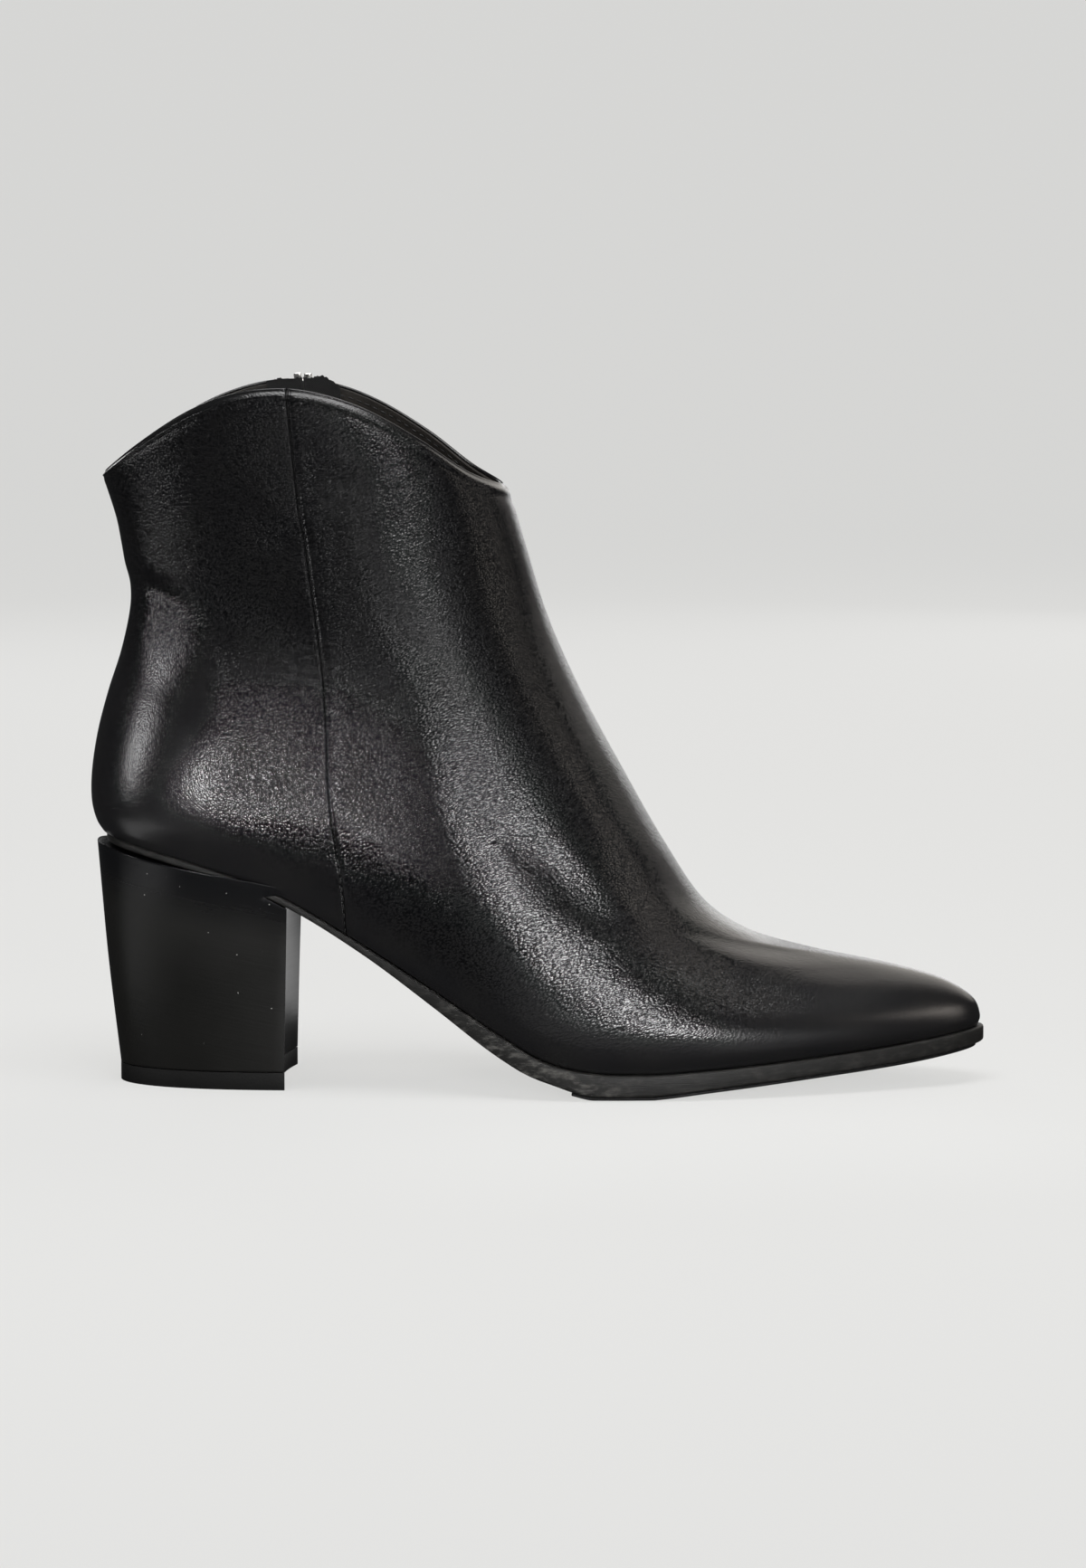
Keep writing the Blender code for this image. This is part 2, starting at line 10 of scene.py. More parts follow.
import bmesh
import bpy
import numpy as np
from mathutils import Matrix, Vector


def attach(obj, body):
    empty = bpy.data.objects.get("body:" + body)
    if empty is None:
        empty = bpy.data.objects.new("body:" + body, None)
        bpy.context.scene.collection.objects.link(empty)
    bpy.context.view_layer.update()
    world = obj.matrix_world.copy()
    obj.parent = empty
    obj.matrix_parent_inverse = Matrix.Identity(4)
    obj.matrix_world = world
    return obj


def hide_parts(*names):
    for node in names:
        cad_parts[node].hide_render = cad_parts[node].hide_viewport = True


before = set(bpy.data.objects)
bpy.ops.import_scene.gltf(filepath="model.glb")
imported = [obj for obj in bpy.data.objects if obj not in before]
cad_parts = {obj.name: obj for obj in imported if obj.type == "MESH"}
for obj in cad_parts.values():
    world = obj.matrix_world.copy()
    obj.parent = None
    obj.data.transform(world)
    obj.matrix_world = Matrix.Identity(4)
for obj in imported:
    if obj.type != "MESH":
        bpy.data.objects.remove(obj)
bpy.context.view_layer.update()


# The upper: a back and a front panel of black calf leather, lasted over the form of the foot and turned in
# under the sole. They meet at a pressed side seam on the outer side and at the zip on the inner side. The
# leather is about 1 mm thick, and its edge is folded over at the collar.
METRES = 0.001
LENGTH = 256.6
BALL_WIDTH = 80.0
HEEL_HEIGHT = 72.0
BACK_SEAM = 102.8
TOE_HEIGHT = 16.0
FRONT_LINE = 156.4
COLLAR_RISE = 26.4
SLOT_WIDTH = 8.6
SLOT_LEVEL = 10 / 26
LEATHER = 1.1
EDGE_ROLL = 0.5
COLLAR_START = 0.97
COLLAR_DROP = 240.0
COLLAR_ROWS = 15
COLLAR_LEAN = 0.9
LEAN_START = 0.955
SEAM_GROOVE = 0.8
SEAM_DIP = 0.2
PANEL_ROLL = 0.04
SLOT_ROUND = 0.5
SMALL_STEP = 0.002


def table(columns, *rows):
    """Rows of numbers with named columns."""
    row_type = namedtuple("Row", columns)
    return [row_type(*row) for row in rows]


# The x columns are hundredths of LENGTH. back_z and front_z are hundredths of the back seam and of the front
# line. sag and rise are shares of the sole's sag and of the collar's scallop, and seam is where along the
# section the side seam crosses. heel to toe are half widths, as hundredths of half of BALL_WIDTH, at
# WIDTH_STATIONS along the section. The two radii round its ends.
SECTIONS = table(
    "back_x back_z front_x front_z sag rise seam back_radius heel waist instep joint vamp toe tip_radius",
    (-48.7, 0.0, 49.3, 0.0, 1.00, 0.00, 0.285, 23.0, 65.0, 71.0, 95.5, 91.5, 71.5, 43.0, 9.0),
    (-49.5, 3.4, 49.5, 1.9, 0.95, 0.00, 0.290, 24.5, 68.0, 76.0, 100.5, 96.0, 76.0, 46.0, 9.0),
    (-50.0, 9.2, 48.6, 5.1, 0.88, 0.00, 0.296, 25.5, 71.8, 81.0, 103.5, 96.5, 74.0, 44.0, 7.5),
    (-49.9, 17.5, 45.2, 8.5, 0.78, 0.00, 0.303, 25.0, 73.3, 85.0, 103.0, 91.5, 66.0, 37.5, 6.0),
    (-49.2, 28.2, 39.4, 11.2, 0.66, 0.00, 0.312, 23.0, 71.8, 86.5, 101.5, 90.0, 61.0, 30.5, 4.6),
    (-48.0, 39.4, 32.0, 13.6, 0.52, 0.01, 0.324, 20.0, 67.5, 86.0, 99.0, 92.5, 66.0, 26.5, 3.6),
    (-46.6, 50.1, 24.9, 16.5, 0.38, 0.05, 0.338, 17.0, 61.5, 83.5, 96.0, 93.5, 77.0, 41.5, 7.0),
    (-45.6, 61.3, 18.9, 22.6, 0.24, 0.14, 0.356, 15.0, 55.8, 80.0, 93.0, 90.3, 82.0, 53.5, 16.0),
    (-45.5, 68.6, 14.2, 33.7, 0.12, 0.27, 0.377, 14.0, 53.0, 77.0, 90.0, 86.0, 77.5, 57.0, 23.0),
    (-46.1, 74.9, 9.6, 47.0, 0.04, 0.42, 0.400, 14.0, 52.0, 75.0, 86.5, 82.0, 73.0, 53.0, 23.0),
    (-46.5, 80.7, 5.0, 61.1, 0.00, 0.58, 0.422, 14.0, 51.3, 74.0, 83.0, 78.0, 68.5, 49.0, 21.5),
    (-47.0, 87.1, 1.2, 75.1, 0.00, 0.74, 0.442, 14.5, 51.0, 73.3, 80.5, 75.0, 65.0, 45.5, 20.0),
    (-47.9, 94.4, -1.4, 88.9, 0.00, 0.88, 0.462, 15.5, 50.5, 73.3, 79.0, 73.3, 63.0, 43.5, 19.0),
    (-48.7, 100.0, -3.4, 100.0, 0.00, 1.00, 0.480, 16.5, 50.5, 73.5, 78.3, 72.3, 62.0, 42.5, 18.5),
)
WIDTH_STATIONS = (0.0, 0.12, 0.32, 0.54, 0.70, 0.82, 0.93, 1.0)

# The edge where upper and sole meet, from the heel to the toe: its height, the thickness of all that is
# under it and how far the sole stands out from the upper.
SOLE_ROWS = table(
    "x height thickness edge",
    (-125.0, 72.0, 2.6, -1.0),
    (-110.0, 68.6, 2.6, -1.0),
    (-95.0, 64.6, 2.6, -1.0),
    (-70.0, 55.2, 2.7, -0.6),
    (-50.0, 43.6, 3.0, 0.2),
    (-28.0, 29.9, 5.0, 0.8),
    (-10.0, 18.5, 6.6, 1.2),
    (3.0, 11.3, 6.7, 1.5),
    (16.0, 8.2, 8.1, 1.5),
    (30.0, 7.6, 7.8, 1.5),
    (52.0, 8.7, 6.8, 1.5),
    (80.0, 10.9, 6.3, 1.5),
    (108.0, 13.6, 6.3, 1.5),
    (126.6, 16.0, 6.0, 1.6),
)

# The sideways curve of the foot along the boot
SWING = table(
    "x offset",
    (-128.0, 2.2), (-90.0, 2.2), (-42.0, 0.4), (13.0, -0.2), (46.0, 1.6), (89.0, 5.0), (127.0, 7.2),
)

# The collar's scallop along its chord, as a share of COLLAR_RISE
SCALLOP = table(
    "share rise",
    (0.0, 0.0), (0.1, 0.345), (0.25, 0.765), (0.47, 1.0), (0.65, 0.84), (0.8, 0.5), (0.93, 0.13), (1.0, 0.0),
)

# Soft creases of the leather on the side of the boot: the middle of each, its length and width, its slope in
# degrees and how far it stands out, or is sunk if negative.
CREASES = table(
    "x z length width slope height",
    (-108.0, 142.0, 8.0, 3.0, -31, -0.6),
    (-104.5, 135.5, 7.0, 4.0, -31, 0.2),
    (-73.5, 168.0, 9.0, 3.0, -38, 0.5),
    (-71.5, 158.0, 7.0, 3.2, -28, -0.6),
    (-61.5, 164.5, 5.0, 4.0, -20, 0.5),
    (-55.0, 174.0, 9.0, 2.6, -12, -0.4),
    (-74.0, 121.0, 14.0, 10.0, -40, -1.4),
    (-60.0, 81.0, 22.0, 13.0, -33, 1.5),
    (-13.0, 77.0, 6.0, 2.4, -62, -0.5),
    (-9.0, 70.5, 6.0, 2.4, -60, 0.4),
    (-26.5, 83.0, 14.0, 9.0, -60, 0.7),
    (-9.0, 54.0, 22.0, 10.0, -45, 1.5),
    (12.0, 60.0, 20.0, 9.0, -45, -1.0),
    (30.0, 29.0, 22.0, 8.0, -13, 1.2),
    (-59.0, 117.0, 22.0, 8.0, -84, 1.1),
    (-40.0, 110.0, 22.0, 12.0, -80, -1.0),
)
SIDE_ONLY = 9.0
INNER_SHARE = 0.5
ZIP_CLEAR = 13.0
ZIP_FADE = 9.0

# Where the mesh has its columns, as distances from the side seam and from the middle of the zip
SEAM_COLUMNS = (
    -3.4, -2.4, -1.7, -1.2, -0.85, -0.62, -0.47, -0.35, -0.23, -0.1, 0.05, 0.2,
    0.35, 0.5, 0.75, 1.0, 1.3, 1.8, 2.5, 3.4,
)
ZIP_COLUMNS = (-6.4, -5.2, -4.7, -4.42, -4.3, -0.7, -0.3, 0.0, 0.3, 0.7, 4.3, 4.42, 4.7, 5.2, 6.4)
BACK_STEPS = 34
FRONT_STEPS = 78
LOW_ROWS = 52
HIGH_ROWS = 68


def smooth(knots, values, at):
    """The cubic curve through values at knots, read at `at`. Values may have several columns."""
    knots = np.asarray(knots, float)
    values = np.asarray(values, float)
    at = np.asarray(at, float)
    slopes = np.gradient(values, knots, axis=0)
    left = np.clip(np.searchsorted(knots, at) - 1, 0, len(knots) - 2)
    span = knots[left + 1] - knots[left]
    t = (at - knots[left]) / span
    if values.ndim > 1:
        t = t[..., None]
        span = span[..., None]
    ease = t * t * (3 - 2 * t)
    rise = span * (slopes[left] * t * (1 - t) ** 2 - slopes[left + 1] * t * t * (1 - t))
    return values[left] * (1 - ease) + values[left + 1] * ease + rise


def column(rows, name):
    return np.array([getattr(row, name) for row in rows])


def read(rows, name, at):
    """A table's column, read at a place along its first column."""
    return smooth(column(rows, rows[0]._fields[0]), column(rows, name), at)


def ramp(value, start, end):
    """A soft step from 0 at start to 1 at end."""
    share = np.clip((value - start) / (end - start), 0, 1)
    return share * share * (3 - 2 * share)


def sole_top(x):
    return read(SOLE_ROWS, "height", x)


@cache
def section_at(level):
    """The section at a level between 0 on the sole and 1 at the collar."""
    cut = SECTIONS[0]._make(smooth(np.linspace(0, 1, len(SECTIONS)), SECTIONS, level))
    return cut._replace(
        back_x=cut.back_x / 100 * LENGTH,
        front_x=cut.front_x / 100 * LENGTH,
        back_z=HEEL_HEIGHT + cut.back_z / 100 * BACK_SEAM,
        front_z=TOE_HEIGHT + cut.front_z / 100 * FRONT_LINE,
    )


def sole_sag(share):
    """How far the edge on the sole lies above or below its own chord."""
    low = section_at(0.0)
    x = low.back_x + (low.front_x - low.back_x) * share
    return sole_top(x) - (low.back_z + (low.front_z - low.back_z) * share)


def section_points(cut, angle, side):
    """Points of a section from back, angle 0, to front, angle pi, on side -1 (outer) or +1 (inner)."""
    share = (1 - np.cos(angle)) / 2
    chord = cut.front_x - cut.back_x
    widths = np.array([cut.heel, cut.waist, cut.instep, cut.joint, cut.vamp, cut.toe])
    half_widths = widths / 100 * BALL_WIDTH / 2
    inner_stations = np.array(WIDTH_STATIONS[1:-1])
    fullness = np.concatenate(
        (
            [np.sqrt(cut.back_radius * chord / 2)],
            half_widths / (2 * np.sqrt(inner_stations * (1 - inner_stations))),
            [np.sqrt(cut.tip_radius * chord / 2)],
        )
    )
    x = cut.back_x + chord * share
    y = read(SWING, "offset", x) + side * np.sin(angle) * smooth(WIDTH_STATIONS, fullness, share)
    z = cut.back_z + (cut.front_z - cut.back_z) * share + cut.sag * sole_sag(share)
    z = z + cut.rise * COLLAR_RISE * read(SCALLOP, "rise", share)
    return np.stack((x, y, z), axis=-1)


def ring(level, stations, side):
    """Points at one level. Station 0 is the back seam, 1 the side seam and 2 the front."""
    cut = section_at(level)
    seam_angle = np.arccos(1 - 2 * cut.seam)
    stations = np.asarray(stations, float)
    past_seam = seam_angle + (stations - 1) * (np.pi - seam_angle)
    return section_points(cut, np.where(stations < 1, stations * seam_angle, past_seam), side)


def beside_seam(level, offset, side):
    """The station that lies offset millimetres in front of the side seam, or behind it if negative."""
    behind, here, before = ring(level, (1 - SMALL_STEP, 1.0, 1 + SMALL_STEP), side)
    step = np.where(np.less(offset, 0), np.linalg.norm(here - behind), np.linalg.norm(before - here))
    return 1.0 + np.asarray(offset) / step * SMALL_STEP


def unit(vectors):
    """Vectors of length 1 in the same directions."""
    return vectors / np.linalg.norm(vectors, axis=-1, keepdims=True)


def creased(points, level, side):
    """How far the leather stands out from the plain form of the last at these points."""
    relief = np.zeros(len(points))
    for crease in CREASES:
        slope = np.radians(crease.slope)
        x = points[:, 0] - crease.x
        z = points[:, 2] - crease.z
        along = (x * np.cos(slope) + z * np.sin(slope)) / crease.length
        across = (z * np.cos(slope) - x * np.sin(slope)) / crease.width
        relief += crease.height * np.exp(-along * along - across * across)
    from_middle = np.abs(points[:, 1] - read(SWING, "offset", points[:, 0]))
    relief *= ramp(from_middle, 0.0, SIDE_ONLY)
    lean = COLLAR_LEAN * max(0.0, (level - LEAN_START) / (1 - LEAN_START)) ** 2
    if side < 0:
        return relief - lean
    from_zip = np.abs(points[:, 0] - ring(level, [1.0], 1)[0, 0])
    return (INNER_SHARE * relief - lean) * ramp(from_zip, ZIP_CLEAR, ZIP_CLEAR + ZIP_FADE)


def skin(level, stations, side, depth=0.0, lift=0.0):
    """Points of the dressed upper at one level, sunk into the wall by depth and moved up it by lift."""
    stations = np.asarray(stations, float)
    along = ring(level, stations + SMALL_STEP, side) - ring(level, stations - SMALL_STEP, side)
    up = ring(level + SMALL_STEP, stations, side) - ring(level - SMALL_STEP, stations, side)
    outward = unit(-side * np.cross(along, up))
    points = ring(level, stations, side)
    proud = creased(points, level, side) - depth
    return points + outward * proud[:, None] + unit(up) * np.reshape(lift, (-1, 1))


def across_upper(level, columns, side):
    """Stations of one side of a level: even steps, but close by the seam or the zip as columns say."""
    near = beside_seam(level, columns, side)
    behind = np.linspace(0, near[0], BACK_STEPS + 1)[:-1]
    before = np.linspace(near[-1], 2, FRONT_STEPS + 1)[1:]
    return np.concatenate((behind, near, before))


def along_columns(profile):
    """A profile over the columns by the seam or the zip, and 0 at the other stations of that side."""
    return np.concatenate((np.zeros(BACK_STEPS), profile, np.zeros(FRONT_STEPS)))


def bump(offset, middle, width):
    """A round swell of height 1."""
    return np.exp(-(((offset - middle) / width) ** 2))


def seam_depth(offset):
    """The pressed seam: the back panel's edge drops into a narrow groove, and the front's edge is rolled."""
    groove = SEAM_GROOVE * bump(offset, -0.25, 0.28) + 0.06 * bump(offset, 0.6, 0.3)
    return SEAM_DIP * bump(offset, 0.0, 0.9) + groove - PANEL_ROLL * bump(offset, 0.2, 0.16)


def slot_roll(offset):
    """How far the leather's edge is rolled down beside the zip's slot."""
    return EDGE_ROLL * np.clip(1 - (np.abs(offset) - SLOT_WIDTH / 2) / SLOT_ROUND, 0, 1) ** 3


def wall_mesh(outer, inner, keep, closed):
    """Points and faces of a wall between two grids, made of the cells to keep. Closed grids join round."""
    rows, columns = outer.shape[:2]
    index = np.arange(rows * columns).reshape(rows, columns)
    if closed:
        index = np.concatenate((index, index[:, :1]), axis=1)
    low_left, low_right = index[:-1, :-1], index[:-1, 1:]
    high_left, high_right = index[1:, :-1], index[1:, 1:]
    below = rows * columns
    cells = np.stack((low_left, low_right, high_right, high_left), axis=-1)
    faces = [cells[keep], cells[keep][:, ::-1] + below]
    padded = np.pad(keep, 1)
    if closed:
        padded[1:-1, 0] = keep[:, -1]
        padded[1:-1, -1] = keep[:, 0]
    sides = (
        (padded[:-2, 1:-1], low_left, low_right),
        (padded[1:-1, 2:], low_right, high_right),
        (padded[2:, 1:-1], high_right, high_left),
        (padded[1:-1, :-2], high_left, low_left),
    )
    for neighbour, start, end in sides:
        edge = keep & ~neighbour
        first, last = start[edge], end[edge]
        faces.append(np.stack((last, first, first + below, last + below), axis=-1))
    points = np.concatenate((outer.reshape(-1, 3), inner.reshape(-1, 3)))
    return points, np.concatenate(faces)


def around_slot(rows, count, columns, half_slot):
    """The cells of a grid round the boot, without those in the zip's slot. Rows begin with a level."""
    keep = np.ones((len(rows) - 1, count), bool)
    first, last = (count - BACK_STEPS - columns.index(edge) for edge in (half_slot, -half_slot))
    keep[[row[0] >= SLOT_LEVEL for row in rows[:-1]], first:last] = False
    return keep


def add_object(name, data):
    made = bpy.data.objects.new(name, data)
    bpy.context.scene.collection.objects.link(made)
    return made


def add_piece(name, points, faces, finish, sharp=None, **values):
    """An object from points in millimetres. Values are stored on its points as attributes."""
    points = np.asarray(points, float)
    used = np.unique(np.concatenate([np.ravel(face) for face in faces]))
    renumbered = np.zeros(len(points), int)
    renumbered[used] = np.arange(len(used))
    mesh = bpy.data.meshes.new(name)
    mesh.from_pydata(points[used] * METRES, [], [renumbered[face].tolist() for face in faces])
    for attribute, value in values.items():
        layer = mesh.attributes.new(attribute, "FLOAT", "POINT")
        layer.data.foreach_set("value", np.asarray(value, np.float32)[used])
    mesh_edit = bmesh.new()
    mesh_edit.from_mesh(mesh)
    bmesh.ops.recalc_face_normals(mesh_edit, faces=mesh_edit.faces)
    mesh_edit.to_mesh(mesh)
    mesh_edit.free()
    mesh.shade_smooth()
    if sharp:
        mesh.set_sharp_from_angle(angle=np.radians(sharp))
    mesh.materials.append(finish)
    return add_object(name, mesh)


class Wire:
    """A node's output. Python's operators on it add Math nodes."""

    def __init__(self, nodes, socket):
        self.nodes = nodes
        self.socket = socket

    def math(self, operation, *values):
        return self.nodes.add("ShaderNodeMath", dict(enumerate(values)), operation=operation)

    def output(self, name):
        return Wire(self.nodes, self.socket.node.outputs[name])

    def __add__(self, other):
        return self.math("ADD", self, other)

    def __sub__(self, other):
        return self.math("SUBTRACT", self, other)

    def __rsub__(self, other):
        return self.math("SUBTRACT", other, self)

    def __mul__(self, other):
        return self.math("MULTIPLY", self, other)

    __radd__ = __add__
    __rmul__ = __mul__


class Nodes:
    """A node tree that is written as expressions."""

    def __init__(self, tree):
        self.tree = tree

    def add(self, kind, sockets=None, output=0, **settings):
        """A new node with its settings and the values or wires of its sockets."""
        node = self.tree.nodes.new(kind)
        for name, value in settings.items():
            setattr(node, name, value)
        for name, value in (sockets or {}).items():
            if isinstance(value, Wire):
                self.tree.links.new(value.socket, node.inputs[name])
            else:
                node.inputs[name].default_value = value
        if node.outputs:
            return Wire(self, node.outputs[output])


class Finish(Nodes):
    """The nodes of a new material."""

    def __init__(self, name):
        self.material = bpy.data.materials.new(name)
        self.material.use_nodes = True
        super().__init__(self.material.node_tree)
        self.tree.nodes.clear()

    def place(self, cell, slope=0.0):
        """Object coordinates in cells of this many millimetres, turned by a slope in degrees on the side."""
        here = self.add("ShaderNodeTexCoord", output="Object")
        scale = np.broadcast_to(cell, 3) * METRES
        turned = {"Vector": here, "Rotation": (0, np.radians(slope), 0), "Scale": scale}
        return self.add("ShaderNodeMapping", turned, vector_type="TEXTURE")

    def axis(self, name):
        """One of the Object coordinates, in metres."""
        here = self.add("ShaderNodeTexCoord", output="Object")
        return self.add("ShaderNodeSeparateXYZ", {"Vector": here}, output=name)

    def noise(self, cell, detail=2.0, roughness=0.5, slope=0.0):
        """Soft noise in cells of this many millimetres, or on a wire's own coordinates."""
        where = cell if isinstance(cell, Wire) else self.place(cell, slope)
        sockets = {"Vector": where, "Scale": 1.0, "Detail": detail, "Roughness": roughness}
        return self.add("ShaderNodeTexNoise", sockets)

    def between(self, value, low, high):
        """A soft step from 0 where value is low to 1 where it is high."""
        sockets = {"Value": value, "From Min": low, "From Max": high}
        return self.add("ShaderNodeMapRange", sockets, interpolation_type="SMOOTHSTEP")

    def mixed(self, share, first, second):
        """A colour between two, each a wire or three numbers."""
        ends = [end if isinstance(end, Wire) else (*end, 1.0) for end in (first, second)]
        sockets = {0: share, 6: ends[0], 7: ends[1]}
        return self.add("ShaderNodeMix", sockets, output=2, data_type="RGBA")

    def bump(self, height, depth):
        """A normal from a height between 0 and 1 that stands for this many millimetres."""
        return self.add("ShaderNodeBump", {"Height": height, "Distance": depth * METRES})

    def surface(self, sockets):
        """The material, with these sockets of its one shader set."""
        shader = self.add("ShaderNodeBsdfPrincipled", sockets)
        self.add("ShaderNodeOutputMaterial", {"Surface": shader})
        return self.material


def grained_leather():
    """Semi-gloss black calf: fine pebbles that lie along each panel's own stretch, and wider soft streaks.
    The hollows between the pebbles get painted shade: a darker colour.
    """
    nodes = Finish("black_leather")
    panel = nodes.add("ShaderNodeAttribute", output="Fac", attribute_name="front_panel")
    grain = nodes.add("ShaderNodeAttribute", output="Fac", attribute_name="grain")

    def along_panels(back_cell, front_cell):
        ends = {0: panel, 4: nodes.place(back_cell, 42), 5: nodes.place(front_cell, -27)}
        return nodes.add("ShaderNodeMix", ends, output=1, data_type="VECTOR")

    cells = {"Vector": along_panels((0.68, 0.5, 0.46), (1.0, 0.5, 0.42)), "Scale": 1.0}
    pebbles = nodes.add("ShaderNodeTexVoronoi", cells)
    wrinkles = nodes.noise(along_panels((1.8, 1.2, 0.8), (3.6, 1.2, 0.6)), 3.0, 0.6)
    streaks = nodes.noise(along_panels((9.0, 4.0, 2.2), (14.0, 4.0, 2.6)), 3.0)
    wear = nodes.noise(14.0, 3.0)
    height = grain * (wrinkles - pebbles * 1.7 + streaks * 1.2) + streaks * 0.4
    # Painted shade: the colour is darkened in the hollows between the pebbles, where shade would fall.
    painted_groove_shade = nodes.between(pebbles, 0.3, 0.75) * grain
    tint = nodes.mixed(wear, (0.0045, 0.0045, 0.0054), (0.0080, 0.0077, 0.0074))
    return nodes.surface({
        "Base Color": nodes.mixed(painted_groove_shade, tint, (0.0010, 0.0010, 0.0012)),
        "Roughness": 0.25 + wear * 0.05 - grain * 0.09,
        "Specular IOR Level": 0.5,
        "Normal": nodes.bump(height, 0.065),
    })


# Where the grain is pressed smooth: heights over the sole, places along the toe and the counter, heights of
# the counter and a share of the upper's levels. Each pair runs from where it starts to where it is full.
GRAIN_LEAST = 0.15
PRESSED = 0.7
LASTED = (17.0, 3.0)
TOE = (40.0, 90.0)
COUNTER = (-82.0, -98.0)
COUNTER_TOP = (136.0, 112.0)
COLLAR_SMOOTH = 0.014

# How the leather is worked at its edges: the fold at the collar, the turn of its rows under the sole as
# rounding and lift, the seam below the zip, and how far its back is cut away along the slot.
FOLD_LEAN = 0.3
FOLD_ROLL = 0.4
SOLE_TURN = ((0.55, -0.22), (0.14, -0.12))
LOW_SEAM = 0.5
SKIVED = 0.8
LEAST_LEATHER = 0.05


def grain_strength(points, level):
    """The grain is pressed smooth along the collar, over toe and counter, and where the leather is lasted."""
    x, _, z = points.T
    lasted = ramp(z - sole_top(x), *LASTED)
    counter = ramp(x, *COUNTER) * ramp(z, *COUNTER_TOP)
    left = (1 - lasted) * (1 - PRESSED * ramp(x, *TOE)) * (1 - PRESSED * counter)
    return GRAIN_LEAST + (1 - GRAIN_LEAST) * left * ramp(1.0 - level, 0.0, COLLAR_SMOOTH)


def collar_fold(level):
    """How far the wall leans in at the collar's edge, above a soft roll that stands proud of the shaft."""
    drop = COLLAR_DROP * (1 - level)
    return FOLD_LEAN * bump(drop, 0.0, 1.3) - FOLD_ROLL * bump(drop, 2.8, 1.5)


def upper_rows():
    """Rows of the upper from the sole up: level, fold of the whole wall, rounding of its edge and lift."""
    low_levels = np.linspace(0.006, SLOT_LEVEL, LOW_ROWS)
    high_levels = np.linspace(SLOT_LEVEL, COLLAR_START, HIGH_ROWS)[1:]
    collar_levels = np.linspace(COLLAR_START, 1.0, COLLAR_ROWS)[1:]
    rows = [(0.0, 0.0, *turned_in) for turned_in in SOLE_TURN]
    rows += [(level, 0.0, 0.0, 0.0) for level in (*low_levels, *high_levels)]
    for level in collar_levels:
        sunk = EDGE_ROLL * (level - COLLAR_START) / (1 - COLLAR_START)
        rows.append((level, collar_fold(level), 0.0, -sunk))
    for turn in np.radians((25.0, 50.0, 72.0, 90.0)):
        rounding = EDGE_ROLL * (1 - np.cos(turn))
        rows.append((1.0, collar_fold(1.0), rounding, EDGE_ROLL * (np.sin(turn) - 1)))
    return rows


def make_upper():
    rows = upper_rows()
    seam = along_columns(seam_depth(np.array(SEAM_COLUMNS)))
    roll = along_columns(slot_roll(np.array(ZIP_COLUMNS)))
    low_seam = along_columns(LOW_SEAM * bump(np.array(ZIP_COLUMNS), 0.0, 0.3))
    outer, inner, grain, front = [], [], [], []
    for level, fold, rounding, lift in rows:
        outer_side = across_upper(level, SEAM_COLUMNS, -1)
        inner_side = across_upper(level, ZIP_COLUMNS, 1)[1:-1]
        cut = (roll if level >= SLOT_LEVEL else low_seam)[1:-1]
        edge = fold + np.maximum(cut, rounding)
        face = (
            skin(level, outer_side, -1, fold + np.maximum(seam, rounding), lift),
            skin(level, inner_side, 1, edge, lift)[::-1],
        )
        under = LEATHER + fold - (rounding if level == 1.0 else 0.0)
        under_edge = np.minimum(under, LEATHER + fold - np.where(cut > rounding, SKIVED * cut, 0.0))
        back = (
            skin(level, outer_side, -1, np.full(len(outer_side), under), lift),
            skin(level, inner_side, 1, np.maximum(under_edge, edge + LEAST_LEATHER), lift)[::-1],
        )
        outer.append(np.concatenate(face))
        inner.append(np.concatenate(back))
        grain.append(grain_strength(outer[-1], level))
        stations = np.concatenate((outer_side, inner_side[::-1]))
        front.append((stations > 0.995).astype(float))
    keep = around_slot(rows, len(outer[0]), ZIP_COLUMNS, SLOT_WIDTH / 2)
    points, faces = wall_mesh(np.stack(outer), np.stack(inner), keep, closed=True)
    values = {"grain": np.tile(np.ravel(grain), 2), "front_panel": np.tile(np.ravel(front), 2)}
    return add_piece("upper_leather", points, faces, grained_leather(), **values)


upper = make_upper()
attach(upper, "boot")
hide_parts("upper")


# The lining and the stitches: thin dark leather glued to the inside of the upper, cut back beside the zip.
# It stops just under the collar's fold, where a row of waxed black thread holds it. More thread runs beside
# the zip and low in the side seam.
WALL = 2.0
LINING_FACE = 1.15
LINING_ROWS = 64
LINING_SLOT = 5.6
LINING_DROP = 0.9
LINING_LEVELS = (0.012, 0.984)
STITCH_DROP = 3.0
STITCH_PITCH = 2.6
STITCH_LENGTH = 1.9
THREAD = 0.45
SEAM_THREAD = -0.35
SEAM_THREAD_DEPTH = 0.25
SEAM_THREAD_LEVELS = (0.015, 0.27)
ZIP_THREAD = 2.2
ZIP_THREAD_LEVELS = (SLOT_LEVEL - 0.01, 0.985)


def plain_finish(name, tints, roughness, cloud, relief, **constants):
    """Tint and roughness drift in soft clouds, over a fine relief.

    Roughness is its least value and how far it rises. Cloud and relief are the cell and the detail of a
    noise, and relief ends in its depth. Constants are other values of the shader.
    """
    nodes = Finish(name)
    clouds = nodes.noise(cloud[0], cloud[1])
    return nodes.surface({
        "Base Color": nodes.mixed(clouds, *tints),
        "Roughness": roughness[0] + clouds * roughness[1],
        "Normal": nodes.bump(nodes.noise(relief[0], relief[1]), relief[2]),
        **constants,
    })


def plain_leather(name, tints, roughness):
    """Matte leather with a close fine grain and a cloudy colour."""
    matte = {"Specular IOR Level": 0.3}
    return plain_finish(name, tints, (roughness, 0.15), (22.0, 4.0), (0.5, 2.0, 0.08), **matte)


